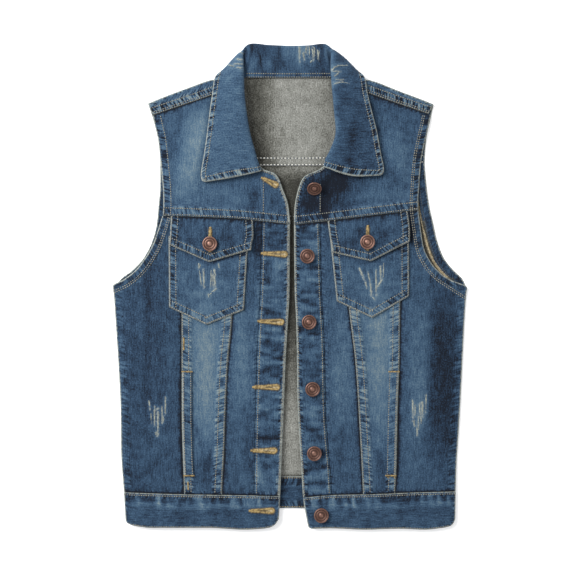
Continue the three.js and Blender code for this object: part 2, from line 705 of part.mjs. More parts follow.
// The back: three panels, a yoke and a waistband, flat on the table with the inside up
function addBack() {
  const leftEdge = seam(BACK, "left");
  const rightEdge = seam(BACK, "right");
  const leftSeam = seam(BACK, "leftSeam");
  const rightSeam = seam(BACK, "rightSeam");
  const yokeSeam = line(BACK_YOKE_SEAM);
  const half = SEAM_GAP / 2;
  const bottom = moved(backWaistSeam, half);
  const hem = (distance, y) => felled(distance) * ramp(y, 282, 290);
  const top = moved(yokeSeam, -half);
  const shared = { bottom, top, under: backUnder };
  const leftSide = panel({
    ...shared,
    left: leftEdge,
    right: moved(leftSeam, -half),
    across: stations(3, FELL_WIDTH, 0),
    along: rowsAt(BACK, "left", bottom, top),
    thick: (x, y, from) => CLOTH + hem(from.left, y),
  });
  const rightSide = panel({
    ...shared,
    left: moved(rightSeam, half),
    right: rightEdge,
    across: stations(3, 0, FELL_WIDTH),
    along: rowsAt(BACK, "right", bottom, top),
    thick: (x, y, from) => CLOTH + hem(from.right, y),
  });
  const middle = panel({
    ...shared,
    left: moved(leftSeam, half),
    right: moved(rightSeam, -half),
    across: stations(4),
    along: stations(5),
    thick: () => CLOTH,
  });
  const yoke = panel({
    left: leftEdge,
    right: rightEdge,
    bottom: moved(yokeSeam, half),
    top: shoulderLine,
    across: stations(14, FELL_WIDTH, FELL_WIDTH),
    along: [0, 0.25, 0.5, 0.62, 0.7, 0.78, 0.86, 0.93, 1].map((share) => ({ share, shift: 0 })),
    under: backUnder,
    thick: (x, y, from) => CLOTH + Math.max(felled(from.left), felled(from.right)),
  });
  const waistband = panel({
    left: leftEdge,
    right: rightEdge,
    bottom: line(BACK_HEM),
    top: moved(backWaistSeam, -half),
    across: stations(12),
    along: stations(2),
    under: () => 0,
    thick: () => WAISTBAND_THICK,
  });
  add("back_side_left", leftSide, DENIM_INSIDE);
  add("back_side_right", rightSide, DENIM_INSIDE);
  add("back_centre", middle, DENIM_INSIDE);
  add("back_yoke", yoke, DENIM_INSIDE);
  add("waistband_back", waistband, DENIM);
}

// The collar as one wall through its sections
function addCollar() {
  const names = ["neck", "fold", "leaf", "edge"];
  const rails = names.map((name) => {
    const points = COLLAR.map((section) => new THREE.Vector3(...section[name]));
    return new THREE.CatmullRomCurve3(points, false, "centripetal");
  });
  const shares = COLLAR.slice(1).flatMap((section, i) => {
    const corner = Math.abs(section.edge[0]) > 50 && section.edge[1] > 505;
    const steps = corner ? COLLAR_CORNER_STEPS : COLLAR_STEPS;
    return Array.from({ length: steps }, (_, k) => (i + k / steps) / (COLLAR.length - 1));
  });
  const sections = [];
  for (const share of [...shares, 1]) {
    const [neck, fold, leaf, edge] = rails.map((rail) => rail.getPoint(share));
    const tangent = rails[1].getTangent(share);
    const inward = neck.clone().add(leaf).multiplyScalar(0.5).sub(fold);
    inward.addScaledVector(tangent, -inward.dot(tangent)).normalize().multiplyScalar(COLLAR_ROLL);
    const aside = tangent.clone().cross(inward);
    const stand = fold.clone().add(inward).sub(aside);
    const roll = fold.clone().add(inward).add(aside);
    const curve = new THREE.CatmullRomCurve3([neck, stand, fold, roll, leaf, edge], false, "centripetal");
    sections.push(curve.getPoints(5 * COLLAR_STEPS_ACROSS));
  }
  const difference = (grid, i, j, di, dj) => {
    const clampI = (k) => Math.max(0, Math.min(grid.length - 1, k));
    const clampJ = (k) => Math.max(0, Math.min(grid[0].length - 1, k));
    return grid[clampI(i + di)][clampJ(j + dj)].clone().sub(grid[clampI(i - di)][clampJ(j - dj)]);
  };
  const faceAt = (side) =>
    sections.map((section, i) =>
      section.map((point, j) => {
        const normal = difference(sections, i, j, 1, 0).cross(difference(sections, i, j, 0, 1)).normalize();
        const shifted = point.clone().addScaledVector(normal, (side * COLLAR_THICK) / 2);
        shifted.z = Math.max(0, shifted.z);
        return shifted;
      }),
    );
  add("collar", wall(faceAt(-1), faceAt(1)), DENIM);
}

// A tack button: a dished head with a raised rim and centre, on a short shank and a foot
function buttonGeometry() {
  const shankRadius = 2.2;
  const profile = [
    [0, 0],
    [BUTTON_FOOT, 0],
    [BUTTON_FOOT, 0.7],
    [shankRadius, 1],
    [shankRadius, 2.4],
    [BUTTON_RADIUS - 0.7, 2.7],
    [BUTTON_RADIUS, 3.4],
    [BUTTON_RADIUS - 0.6, 4.4],
    [BUTTON_RADIUS - 1.9, 4],
    [3, 4.1],
    [2, BUTTON_HEIGHT - 0.4],
    [0, BUTTON_HEIGHT - 0.2],
  ].map(([radius, height]) => new THREE.Vector2(radius, height));
  return new THREE.LatheGeometry(profile, 18).rotateX(Math.PI / 2);
}

// Adds a button whose foot is just above the cloth, tipped towards the hem by `turn` radians.
function addButton(name, x, y, cloth, turn) {
  const button = add(name, buttonGeometry(), COPPER);
  const around = [[0, 0], [1, 0], [-1, 0], [0, 1], [0, -1]].map(([dx, dy]) => {
    const rim = BUTTON_FOOT * dy * Math.tan(turn);
    return cloth(x + BUTTON_FOOT * dx, y + BUTTON_FOOT * dy) - rim;
  });
  button.position.set(x, y, Math.max(...around) + LAYER_GAP);
  button.rotation.x = turn;
}

addBack();
addFrontPanels("left", LEFT_FRONT, LEFT_CHEST_SEAM, LEFT_WAIST_SEAM);
addFrontPanels("right", RIGHT_FRONT, RIGHT_CHEST_SEAM, RIGHT_WAIST_SEAM);
addYoke("left", LEFT_YOKE, LEFT_CHEST_SEAM, LEFT_SHOULDER_SEAM);
addYoke("right", RIGHT_YOKE, RIGHT_CHEST_SEAM, RIGHT_SHOULDER_SEAM);
addShoulder("left", LEFT_SHOULDER_SEAM);
addShoulder("right", RIGHT_SHOULDER_SEAM);
addWaistband("left", LEFT_FRONT, LEFT_HEM, LEFT_WAIST_SEAM);
addWaistband("right", RIGHT_FRONT, RIGHT_HEM, RIGHT_WAIST_SEAM);
POCKETS.forEach(addPocket);
addFlap(FLAPS[0], LEFT_CHEST_SEAM);
addFlap(FLAPS[1], RIGHT_CHEST_SEAM);
addWelt("left", LEFT_FRONT);
addWelt("right", RIGHT_FRONT);
addCollar();
FRONT_BUTTONS.forEach(({ across, up, turn }, i) => {
  const thick = up < 38 ? WAISTBAND_THICK : PLACKET_THICK;
  addButton(`button_${i + 1}`, across, up, (x, y) => frontUnder(x, y) + thick, turn);
});
FLAP_BUTTONS.forEach(({ side, across, up }) => {
  const over = OVER_PANEL + CLOTH + LAYER_GAP + FLAP_THICK + FLAP_LIFT;
  addButton(`flap_button_${side}`, across, up, (x, y) => frontUnder(x, y) + over, 0);
});

// The origin is under the middle of the vest, on the table.
vest.position.set(0, -LENGTH / 2, 0);

export default vest;
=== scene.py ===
"""A washed denim vest that lies flat on its back, front up and open down the middle.

Sizes are in millimetres until a mesh is made: x runs across the garment, y runs up from the hem to
the collar, z up from the surface. Left and right are those of someone who looks down at it.
"""

import logging
import math
from dataclasses import dataclass, field
from enum import Enum
from typing import Callable, Sequence

import bpy
import numpy as np
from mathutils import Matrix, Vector


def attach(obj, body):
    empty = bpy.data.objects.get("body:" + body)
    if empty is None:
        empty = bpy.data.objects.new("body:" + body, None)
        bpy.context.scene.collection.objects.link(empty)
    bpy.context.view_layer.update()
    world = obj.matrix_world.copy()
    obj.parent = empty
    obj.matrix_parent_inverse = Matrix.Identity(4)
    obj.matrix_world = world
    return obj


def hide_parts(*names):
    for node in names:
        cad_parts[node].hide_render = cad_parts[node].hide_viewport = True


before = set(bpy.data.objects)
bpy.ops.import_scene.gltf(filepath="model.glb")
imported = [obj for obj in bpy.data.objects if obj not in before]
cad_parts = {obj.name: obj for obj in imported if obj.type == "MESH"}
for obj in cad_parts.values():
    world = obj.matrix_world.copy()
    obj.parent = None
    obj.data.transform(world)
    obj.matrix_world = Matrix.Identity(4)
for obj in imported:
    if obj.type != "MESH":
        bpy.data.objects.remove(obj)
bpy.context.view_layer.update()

LOG = logging.getLogger("vest")

MM = 0.001
LENGTH = 560.0  # hem to the top of the collar
CLOTH = 1.2
PLACKET_THICK = 2.4
WAISTBAND_THICK = 2.8
COLLAR_THICK = 2.0
FELL_WIDTH = 11.0
FELL_RAISE = 0.8
SEAM_GAP = 0.3
HALF_GAP = SEAM_GAP / 2
LAYER_GAP = 0.3
LOFT = 2.3
LOFT_REACH = 15.0
FLAP_THICK = 1.6
FLAP_LIFT = 0.7
# Wear of cloth that is both unworn and in deep shade
DARKEST_WEAR = -0.06
OVER_PANEL = CLOTH + FELL_RAISE + LAYER_GAP
BUTTON_FOOT = 3.6
# Height up the vest at which the yokes' outer lines take over from the panels'
YOKE_START = 362.0
# Wear on a crease 1 mm high (a trough, as a negative crease, gets painted shade), on a scratch,
# and lost in the shade round a scratch
CREASE_FADE_AND_SHADE = 0.22
SCRATCH_FADE, SCRATCH_SHADE = 0.20, 0.05
# Values in the tables of noise along a line and over a plane, in each direction
LINE_VALUES = 997
PLANE_VALUES = 211
# Height of the lowest line of stitches, which keeps them off the surface that the vest lies on
LOWEST_STITCH = 0.5

Array = np.ndarray
Line = Callable[[Array], Array]
Surface = Callable[[Array, Array], Array]
Spread = Callable[[Array, Array, "Near"], Array]
Socket = bpy.types.NodeSocket
Tree = bpy.types.NodeTree
Color = tuple[float, float, float]


def ramp(value: Array, start: float, end: float) -> Array:
    """Return the smooth 0 to 1 step of a value between two limits, in either order."""
    t = np.clip((value - start) / (end - start), 0.0, 1.0)
    return t * t * (3.0 - 2.0 * t)


def bump(distance: Array, width: float) -> Array:
    """Return a bell that is 1 at no distance and fades over the width."""
    return np.exp(-((distance / width) ** 2))


def cells(place: Array, wave: float) -> tuple[Array, Array]:
    """Return the cell that each place is in, and a smooth share of the way through it."""
    cell = np.floor(place / wave)
    t = place / wave - cell
    return cell.astype(int), t * t * (3.0 - 2.0 * t)


def noise_1d(s: Array, wave: float, seed: int) -> Array:
    """Return smooth noise from -1 to 1 along a line, with a value of its own at every wave."""
    table = np.random.default_rng(seed).uniform(-1.0, 1.0, LINE_VALUES)
    i, t = cells(s, wave)
    return table[i % LINE_VALUES] * (1.0 - t) + table[(i + 1) % LINE_VALUES] * t


def noise_2d(x: Array, y: Array, wave: float, seed: int) -> Array:
    """Return smooth noise from -1 to 1 over a plane, with a value of its own at every wave."""
    n = PLANE_VALUES
    table = np.random.default_rng(seed).uniform(-1.0, 1.0, (n, n))
    (i, tx), (j, ty) = cells(x, wave), cells(y, wave)
    low, high = (table[i % n, k % n] * (1 - tx) + table[(i + 1) % n, k % n] * tx for k in (j, j + 1))
    return low * (1 - ty) + high * ty


@dataclass(frozen=True)
class Rows:
    """A short table with named columns. None marks a value that a row leaves out."""

    names: str
    rows: tuple[tuple[float | None, ...], ...]

    def known(self, name: str) -> tuple[Array, Array]:
        """Return the first column and another one, where that has a value."""
        j = self.names.split().index(name)
        pairs = [(row[0], row[j]) for row in self.rows if row[j] is not None]
        return tuple(np.array(pairs, float).T)

    def smooth(self, name: str, shift: float = 0.0) -> Line:
        """Return a line through another column over the first, which doesn't overshoot."""
        known, value = self.known(name)
        slope = np.diff(value) / np.diff(known)
        tangent = np.concatenate([slope[:1], np.zeros(len(known) - 2), slope[-1:]])
        for i in range(1, len(known) - 1):
            before, after = slope[i - 1], slope[i]
            if before * after > 0:
                tangent[i] = 2 * before * after / (before + after)

        def line(x: Array) -> Array:
            """Return the line's value."""
            i = np.clip(np.searchsorted(known, x, side="right") - 1, 0, len(known) - 2)
            width = known[i + 1] - known[i]
            t = np.clip((x - known[i]) / width, 0.0, 1.0)
            rise = value[i + 1] - value[i]
            a, b = tangent[i] * width, tangent[i + 1] * width
            return value[i] + shift + t * (a + t * (3 * rise - 2 * a - b + t * (a + b - 2 * rise)))

        return line

    def straight(self, name: str) -> Line:
        """Return straight lines over the first column, through another one."""
        known, value = self.known(name)
        return lambda x: np.interp(x, known, value)


def both_sides(names: str, left: tuple, right: tuple) -> dict[str, Rows]:
    """Return a table for each side of the vest, with the same columns."""
    return {"left": Rows(names, left), "right": Rows(names, right)}


def fixed(value: float) -> Line:
    """Return a line that is level."""
    return lambda x: np.full_like(np.asarray(x, float), value)


FRONT = both_sides("up outer pocket_seam princess placket edge",
    (
        (0, -189, -121, -79, -42, -13.5), (43, -191.5, -122, -78, -41, -11),
        (92, -195, -124, -75.5, -40.5, -9), (138, -195.5, -125, -74, -39.5, -7),
        (190, -198, -125, -71.5, -38, -5), (236, -201, -125, -67, -36, -2.5),
        (272, -203.5, -125, -65, -34, -0.5), (281, -204.5, None, None, None, None),
        (288, -192, None, None, None, None), (298, -179, None, None, None, None),
        (313, -167, None, None, None, None), (329, -158, None, None, None, None),
        (346, -152, None, None, None, None), (362, -147, -125, -62, -32, 0),
    ),
    (
        (0, 190.5, 120, 85, 50, 21.5), (38, 191, 121, 84, 48, 15), (72, 192, 123, 82.5, 46, 13),
        (118, 195, 124, 80, 42, 10), (154, 197, 125, 78, 40.5, 8.5), (195, 199, 126.5, 75, 40, 8),
        (244, 201.5, 127, 69, 38, 7), (272, 203.5, 127.5, 66, 36.5, 5.5),
        (279, 204.5, None, None, None, None), (283, 198, None, None, None, None),
        (287, 187, None, None, None, None), (294, 175.5, None, None, None, None),
        (309, 162, None, None, None, None), (325, 154.5, None, None, None, None),
        (346, 151, None, None, None, None), (370, 148, 128, 61.5, 34, 4.5),
    ),
)
YOKE = both_sides("up outer edge",
    (
        (348, -148, 1), (375, -146, -2), (392, -146.5, -8), (405, -147.5, -13), (411, -148, -18),
        (415, -148.5, -30), (425, -149.5, -38), (448, -152, -48), (470, -157, -57),
        (478, -158.5, -59.5), (490, -158.5, -62.5), (507, -158.5, -65),
    ),
    (
        (348, 149, 4.5), (368, 148, 5), (380, 148, 6.5), (394, 149, 10), (405, 149.5, 15),
        (409, 150, 20), (415, 150.5, 34), (425, 151.5, 44), (448, 156, 57), (470, 161, 60),
        (479, 162.5, 61.5), (490, 162.5, 63.5), (509, 162.5, 66),
    ),
)
BACK = Rows("up left left_seam right_seam right", (
    (0, -186.5, -60, 60, 187), (43, -190.5, -62, 62, 190), (92, -194, None, None, 192),
    (138, -194.5, -68, 68, 195), (236, -200, -74, 74, 200.5), (276, -203, None, None, 203.5),
    (288, -196, None, None, 199.5), (298, -183, None, None, 189.5), (313, -169, -80, 80, 177.5),
    (334, -158.5, None, None, 169.5), (352, -154, None, None, 165.5), (372, -152, None, None, 161),
    (398, -150, None, None, 157.5), (424, -150, -90, 90, 155.5), (450, -152.5, None, None, 157.5),
    (474, -158.5, None, None, 162.5), (491, -164, None, None, 166),
))
CHEST_SEAM = both_sides("across up",
    ((-152, 361.5), (-66, 358), (2, 351.5)),
    ((2, 350.5), (70, 358.5), (152, 368.5)),
)
WAIST_SEAM = both_sides("across up",
    ((-193, 43), (-126, 41), (-69, 40), (-9, 39)),
    ((13, 37), (46, 40), (94, 41), (143, 43), (192, 44)),
)
HEM = both_sides("across up",
    (
        (-190, 11), (-187, 7), (-178, 4), (-159, 2), (-94, 2), (-52, 0), (-32, 1), (-23, 2.5), (-17, 6),
        (-13, 12),
    ),
    (
        (20, 4), (25, 1), (46, 1.5), (86, 0), (126, 1), (155, 0), (176, 2), (185, 4), (189, 8),
        (191, 14),
    ),
)
BACK_HEM = Rows("across up", ((-188, 12), (-126, 17), (-14, 24), (16, 24), (126, 16), (188, 13)))
BACK_WAIST_SEAM = Rows("across up", ((-192, 44), (-103, 55), (-14, 61), (16, 61), (115, 54), (192, 45)))
BACK_YOKE_SEAM = Rows("across up", ((-156, 423), (0, 419.5), (160, 423)))
SHOULDER_SEAM = both_sides("across up",
    ((-166, 474.5), (-65, 508.5), (-60, 510.2)),
    ((60, 512.5), (66, 510.5), (168, 476)),
)
SHOULDER_LINE = Rows("across up", (
    (-166, 490), (-164, 491), (-122, 507.5), (-92, 517.8), (-88.5, 518.6), (-83, 513.5), (-72, 513),
    (-58, 523), (58, 523), (72, 513), (83, 513.5), (88.5, 518.3), (95, 517), (126, 505.5), (166, 490),
    (168, 489),
))
POCKET = both_sides("up left right",
    ((236, -139, -54), (319, -139.5, -49), (350, -140, -47)),
    ((244, 56, 137), (318, 48, 137), (352, 44.5, 135.5)),
)
POCKET_POINT = both_sides("across up",
    ((-139, 256), (-96, 236), (-53, 253)),
    ((54, 263), (94.5, 244), (137, 269)),
)
POCKET_TOP = {"left": 338.0, "right": 340.0}
# The placket's row of stitches above the chest seam: across, and its lower and upper end
YOKE_PLACKET = {"left": (-30.6, 365.0, 400.0), "right": (34.8, 367.0, 397.0)}
FLAP = both_sides("up left right",
    ((306, -139.5, -45), (328, -139, -44), (338, -138, -42), (362, -137, -43)),
    ((306, 51, 137), (320, 49, 137.5), (342, 45, 138), (370, 42, 135)),
)
FLAP_POINT = both_sides("across up",
    ((-139, 328), (-93, 308), (-45, 322)),
    ((49, 319), (93, 309), (138, 332)),
)
WELT_WIDTH = 11.0
WELT_BOTTOM = 61.0
WELT_TOP = 183.0

# Soft forms of the cloth, each along a line between two points: ridges are positive.
FOLDS = Rows("from_x from_y to_x to_y width fade height", (
    (-176, 240, -172, 95, 16, 30, 1.4), (-143, 270, -146, 95, 17, 40, 1.5),
    (141, 270, 142, 95, 17, 40, 1.8), (177, 240, 174, 95, 15, 30, 1.5),
    (-98, 455, -120, 400, 16, 20, 1.5), (112, 450, 126, 400, 16, 20, 1.6), (2, 403, 38, 403, 9, 10, 3),
))
# Creases that the wash has set, in the same columns
CREASES = Rows("from_x from_y to_x to_y width fade height", (
    (-162, 330, -166, 120, 5, 30, -0.5), (-185, 260, -182, 70, 4, 30, 0.35),
    (-150, 78, -182, 52, 5, 10, -0.5), (-140, 110, -160, 84, 4, 10, 0.35),
    (-118, 132, -100, 96, 6, 10, -0.45), (-84, 112, -98, 62, 4, 10, -0.5),
    (-90, 128, -86, 70, 5, 12, 0.35), (-58, 300, -56, 210, 5, 20, 0.3),
    (-50, 150, -46, 60, 5, 20, -0.35), (-60, 92, -52, 60, 4, 8, 0.3), (170, 270, 165, 95, 8, 35, -0.65),
    (190, 265, 187, 70, 3.5, 30, -0.35), (156, 250, 152, 120, 6, 30, 0.4),
    (133, 250, 134, 120, 4, 30, -0.3), (100, 90, 112, 52, 4, 10, -0.5), (97, 88, 95, 50, 4, 10, 0.4),
    (60, 120, 58, 60, 5, 15, -0.35), (52, 200, 56, 110, 5, 20, 0.3), (98, 470, 120, 405, 5, 15, -0.6),
    (92, 478, 108, 440, 4, 10, 0.5), (122, 466, 132, 420, 6, 15, 0.4), (62, 470, 84, 396, 7, 14, -0.7),
    (-98, 480, -112, 400, 5, 18, 0.5), (-82, 470, -96, 405, 4, 14, -0.4),
    (-128, 470, -136, 390, 6, 18, -0.4), (42, 406, 40, 350, 4, 8, -1.0), (34, 384, 32, 356, 4, 6, 0.5),
    (-40, 392, -44, 366, 5, 8, -0.5), (-60, 384, -66, 372, 6, 8, 0.4), (20, 344, 34, 340, 3, 4, -0.4),
    (-32, 342, -8, 345, 3, 4, 0.3), (-30, 300, -12, 296, 3, 4, 0.35), (-34, 283, -6, 286, 3, 4, -0.3),
    (-32, 268, -10, 262, 3, 4, 0.35), (-34, 254, -14, 250, 2.5, 4, -0.35),
    (-36, 222, -12, 228, 3, 4, 0.35), (-36, 204, -8, 206, 3, 4, -0.35), (-36, 190, -24, 184, 3, 4, 0.3),
    (-38, 148, -14, 156, 3, 4, -0.4), (-38, 137, -12, 144, 3, 4, 0.45),
    (-36, 128, -20, 112, 3, 4, 0.35), (-40, 106, -12, 104, 2.5, 4, -0.55),
    (-40, 74, -30, 52, 3.5, 4, 0.5), (-30, 76, -20, 52, 3, 4, -0.5), (-22, 82, -14, 58, 3, 4, 0.45),
    (-38, 50, -16, 46, 3, 4, -0.35), (8, 300, 34, 296, 3, 4, -0.3), (10, 288, 34, 280, 3, 4, 0.3),
    (10, 262, 34, 266, 3, 4, -0.35), (10, 252, 32, 255, 3, 4, 0.25), (10, 219, 36, 214, 3, 4, -0.3),
    (10, 205, 38, 203, 3, 4, 0.3), (12, 193, 36, 198, 2.5, 4, -0.5), (12, 182, 24, 172, 3, 4, 0.3),
    (14, 143, 38, 150, 3, 4, -0.3), (14, 133, 38, 121, 3, 4, 0.4), (14, 118, 40, 108, 3, 4, -0.45),
    (24, 106, 42, 118, 3, 4, 0.4), (16, 66, 42, 74, 3, 4, -0.4), (16, 58, 44, 66, 3, 4, 0.45),
    (18, 51, 44, 57, 2.5, 4, -0.6), (26, 48, 44, 44, 3, 4, 0.35), (-176, 30, -150, 29, 4, 10, 0.35),
    (-150, 26, -92, 24, 3.5, 12, 0.5), (-120, 19, -40, 20, 4, 14, -0.35), (-96, 30, -60, 28, 3, 8, 0.3),
    (60, 27, 128, 26, 3.5, 14, 0.45), (118, 20, 186, 21, 4, 14, -0.3), (140, 30, 168, 27, 3, 8, 0.35),
    (-128, 330, -60, 336, 4, 10, -0.3), (60, 330, 126, 344, 4, 10, -0.3),
    (-104, 302, -66, 298, 5, 8, 0.25), (-128, 268, -112, 272, 4, 8, 0.3), (66, 292, 60, 276, 4, 6, 0.3),
    (104, 280, 124, 286, 4, 6, 0.25),
))
# Places where the wash has taken more dye off (positive) or less (negative). Several of the
# negative ones are painted shadow: under the collar's right leaf and round the top button,
# beside the flaps and pockets, and down folds of the fronts
FADES_AND_SHADOWS = Rows("x y wide high tilt amount", (
    (-97, 196, 17, 66, 0, 0.36), (-98, 120, 16, 34, 0, 0.10), (-98, 66, 16, 22, 0, -0.14),
    (-56, 190, 14, 60, 0, 0.20), (-194, 130, 5, 120, 0, 0.10), (-184, 160, 7, 110, 0, -0.14),
    (-161, 210, 12, 80, 0, 0.04), (-154, 215, 14, 100, 0, -0.08), (-136, 180, 8, 90, 0, 0.04),
    (-112, 446, 15, 42, -12, 0.30), (-126, 400, 22, 24, 0, 0.16), (-70, 385, 24, 12, 0, 0.06),
    (-40, 378, 14, 22, 0, -0.06), (103, 210, 16, 62, 0, 0.33), (104, 130, 15, 34, 0, 0.12),
    (106, 62, 14, 22, 0, -0.10), (62, 190, 13, 66, 0, 0.18), (144, 170, 12, 90, 0, 0.12),
    (176, 170, 16, 100, 0, -0.13), (113, 440, 11, 32, 18, 0.17), (136, 410, 12, 44, 6, 0.10),
    (100, 384, 26, 14, 0, 0.13), (56, 388, 16, 26, 0, -0.16), (26, 388, 16, 22, 0, -0.24),
    (24, 366, 18, 16, 0, -0.20), (42, 386, 7, 22, -20, -0.26), (53, 400, 14, 12, 0, -0.38),
    (-16, 374, 11, 14, 0, -0.08), (181, 185, 8, 110, 0, -0.15), (-37, 334, 6, 30, 0, -0.28),
    (-37, 245, 3.5, 46, 0, 0.15), (140.5, 350, 4, 22, 0, -0.50), (124, 332, 12, 7, 25, 0.12),
    (-94, 280, 30, 30, 0, 0.06), (92, 285, 30, 30, 0, 0.05),
))
BUTTON_SPOTS = Rows("across up turn", (
    (28, 394, 0.6), (20, 315, 0.05), (22, 239, 0), (26, 162, 0.04), (28, 88, 0), (36, 17, 0),
))
FLAP_BUTTON_SPOTS = {"left": (-92.0, 329.0), "right": (89.0, 331.0)}
# Buttonholes, from the inner end to the middle of the eyelet
BUTTONHOLES = Rows("from_x from_y to_x to_y", (
    (-33, 404, -17, 397), (-33, 318, -6.5, 317), (-37, 240, -10.5, 239), (-43, 164, -15.5, 164),
    (-45, 91, -18.5, 91), (-47, 22, -21.5, 22),
))
COLLAR = Rows("neck_x neck_y neck_z fold_x fold_y fold_z leaf_x leaf_y leaf_z edge_x edge_y edge_z", (
    (-37, 413, 7.6, -33, 413, 9.5, -66, 405, 10.5, -101, 399.5, 9),
    (-40, 421, 7.6, -36.5, 421, 10, -68, 417, 11.5, -102.5, 408, 9),
    (-45, 435, 7.6, -41, 436, 10.8, -69, 434, 12.5, -99.5, 428, 9),
    (-53, 455, 7.6, -46.5, 456, 11.5, -71, 455, 13.5, -96, 452, 9),
    (-60, 480, 7.6, -50.5, 480, 12, -71, 480, 14, -92.5, 480, 9),
    (-64, 500, 7.6, -53, 502, 12, -71.5, 503, 13.5, -89, 504, 9.2),
    (-63, 512, 7.6, -53.5, 520, 11.5, -71, 522, 11.5, -86.5, 520, 8.6),
    (-60, 518, 6.8, -54, 537, 10, -68.8, 535.8, 6.5, -82, 524.3, 3.6),
    (-56, 520.5, 5.6, -54, 550, 7.5, -61.8, 544.8, 3.2, -75.5, 516, 1),
    (-47, 520.5, 5, -47, 558.35, 4.8, -50, 544, 1.4, -62, 511, 1),
    (-24, 520.5, 4.9, -24, 557.5, 4.2, -25, 540, 1.1, -28, 510, 1),
    (0, 520.5, 4.9, 0, 556.5, 4.2, 0, 538, 1.1, 0, 510, 1),
    (22, 520.5, 4.9, 21, 557, 4.2, 22, 540, 1.1, 26, 510, 1),
    (43, 520.5, 5, 41, 558.3, 4.8, 45, 544, 1.4, 60, 511, 1),
    (54, 520.5, 5.6, 47.5, 551, 7.5, 57.6, 546.4, 3.2, 75.5, 516, 1),
    (60, 518, 6.8, 47.5, 537, 10, 66.4, 537.2, 6.5, 81.3, 523.8, 3.6),
    (64, 512, 7.6, 48, 520, 11.5, 70, 522, 11.5, 86, 520, 8.6),
    (66, 500, 7.6, 49.5, 502, 12, 71, 503, 13.5, 89, 503, 9.4),
    (66, 480, 7.6, 51.5, 480, 12, 73, 481, 14, 94, 482, 9.8),
    (63, 455, 7.6, 53, 455, 11.5, 76, 456, 13.5, 100, 458, 10.2),
    (53, 436, 7.6, 47, 437, 11, 74, 434, 13, 104.5, 433, 10.4),
    (46, 424, 7.6, 41, 425, 10.2, 72, 418, 12, 108, 415, 10.2),
    (43, 415, 7.6, 39, 417, 9.5, 70, 407, 11, 106.5, 407.5, 10),
))
COLLAR_ROLL = 2.3


# Scratches that the wash has worn through to the crosswise threads
FRAYS = {name: Rows("from_x from_y to_x to_y strength", rows) for name, rows in {
    "pocket_left": (
        (-104.8, 305.9, -105.2, 300.8, 1), (-102.9, 304.8, -104.1, 301.3, 0.8),
        (-104.2, 297.9, -101.7, 280.6, 0.7), (-99.6, 300.4, -98.6, 277.7, 1),
        (-90.4, 298.3, -91.4, 278.3, 0.8), (-87.3, 299.8, -85.8, 292.7, 1.2),
        (-86.8, 292.7, -85.2, 277.2, 1), (-88.8, 295.7, -88.3, 277.2, 0.7),
        (-82.1, 306.5, -81.7, 297.9, 0.8), (-84.8, 277.2, -89.4, 274.2, 1),
        (-94, 271.1, -93.4, 266.9, 0.7), (-90.9, 272.1, -93.5, 270, 0.6),
    ),
    "pocket_right": (
        (79.9, 300.8, 85, 288.5, 1.4), (86.6, 286.5, 88.6, 277.7, 0.8), (89.6, 296.7, 92.2, 284.4, 0.9),
        (92.2, 284.4, 93.7, 269.6, 1.2), (95.3, 268, 97.9, 263.9, 0.8), (98.9, 299.3, 99.4, 270, 0.9),
        (104, 303.4, 104.5, 287.5, 1.1), (105.6, 287.5, 100.4, 279.3, 1.2),
        (107.1, 310, 107.6, 283.4, 0.5),
    ),
    "side_left": (
        (-162.2, 148.2, -161.1, 138, 1), (-160.1, 134.9, -159.5, 120.5, 0.6),
        (-155.5, 142, -155.9, 119.5, 1), (-151.9, 140.5, -151.9, 107.2, 1.1),
        (-147.2, 141.6, -147.2, 122.6, 1.1), (-145.1, 130.8, -145.7, 122.6, 0.7),
        (-143.2, 152.8, -143.3, 131.8, 0.9), (-154.4, 112.2, -153.9, 107.2, 0.8),
    ),
    "side_right": (
        (141.1, 149.3, 141.1, 124.5, 0.9), (142.6, 126.2, 143.6, 117.9, 0.9),
        (144.2, 143.6, 143.6, 129.3, 0.8), (146.2, 117.9, 146.7, 107.2, 1),
        (147.8, 134.3, 147.4, 115.8, 0.8), (149.3, 145.6, 149.8, 129.3, 1.1),
        (152.4, 147.7, 152.8, 130.2, 1.2), (156.3, 157, 156.5, 134.3, 0.8),
        (150.9, 129.3, 151.1, 122, 0.7),
    ),
    "collar": (
        (10.7, 554.9, 11.4, 540.7, 1.2), (15.1, 549.9, 16.9, 540, 1), (18.7, 556.1, 18.2, 547.5, 0.7),
        (22.2, 556.7, 22.4, 543.8, 0.9), (25.5, 555.5, 27.4, 541.3, 1.2), (25, 540, 23.7, 537.6, 0.8),
        (28.6, 554.9, 28.6, 546.2, 0.7), (31, 552.5, 32.9, 543.1, 0.9), (34.2, 551.2, 32.3, 541.3, 0.7),
        (-58.1, 549.7, -55.1, 548, 0.9), (-60, 541.3, -55.1, 539.6, 1.1),
        (-63.3, 535.6, -55.1, 535.2, 0.9), (-70.8, 534.8, -63.8, 532.3, 0.8),
        (-60.4, 531.4, -55.1, 529.8, 1.1), (48.3, 527.7, 50.7, 531.4, 0.9),
        (50.7, 531.4, 55.7, 533.3, 0.9), (55.7, 533.3, 66.8, 533.9, 0.7),
        (50.1, 526.5, 58.2, 526.5, 0.9), (51.4, 521, 56.9, 525.9, 0.9), (52, 517.3, 61.9, 517.3, 0.8),
        (50.8, 512.3, 59.3, 514.2, 0.9), (59.3, 514.2, 68, 513, 0.6),
    ),
}.items()}


class Side(Enum):
    """The side of the vest that a piece belongs to, as seen from above."""

    LEFT = "left"
    RIGHT = "right"


class Edge(Enum):
    """How a side of a cloth piece is finished."""

    FOLD = "a folded, worn edge"
    RAISED = "the raised side of a felled seam"
    LOW = "the low side of a felled seam"
    SEWN = "a flush seam with a row of stitches"
    PLAIN = "hidden under another piece"


class Face(Enum):
    """Which side of the cloth shows from above."""

    RIGHT = "right side up"
    WRONG = "wrong side up"
    BOTH = "right side on both faces"


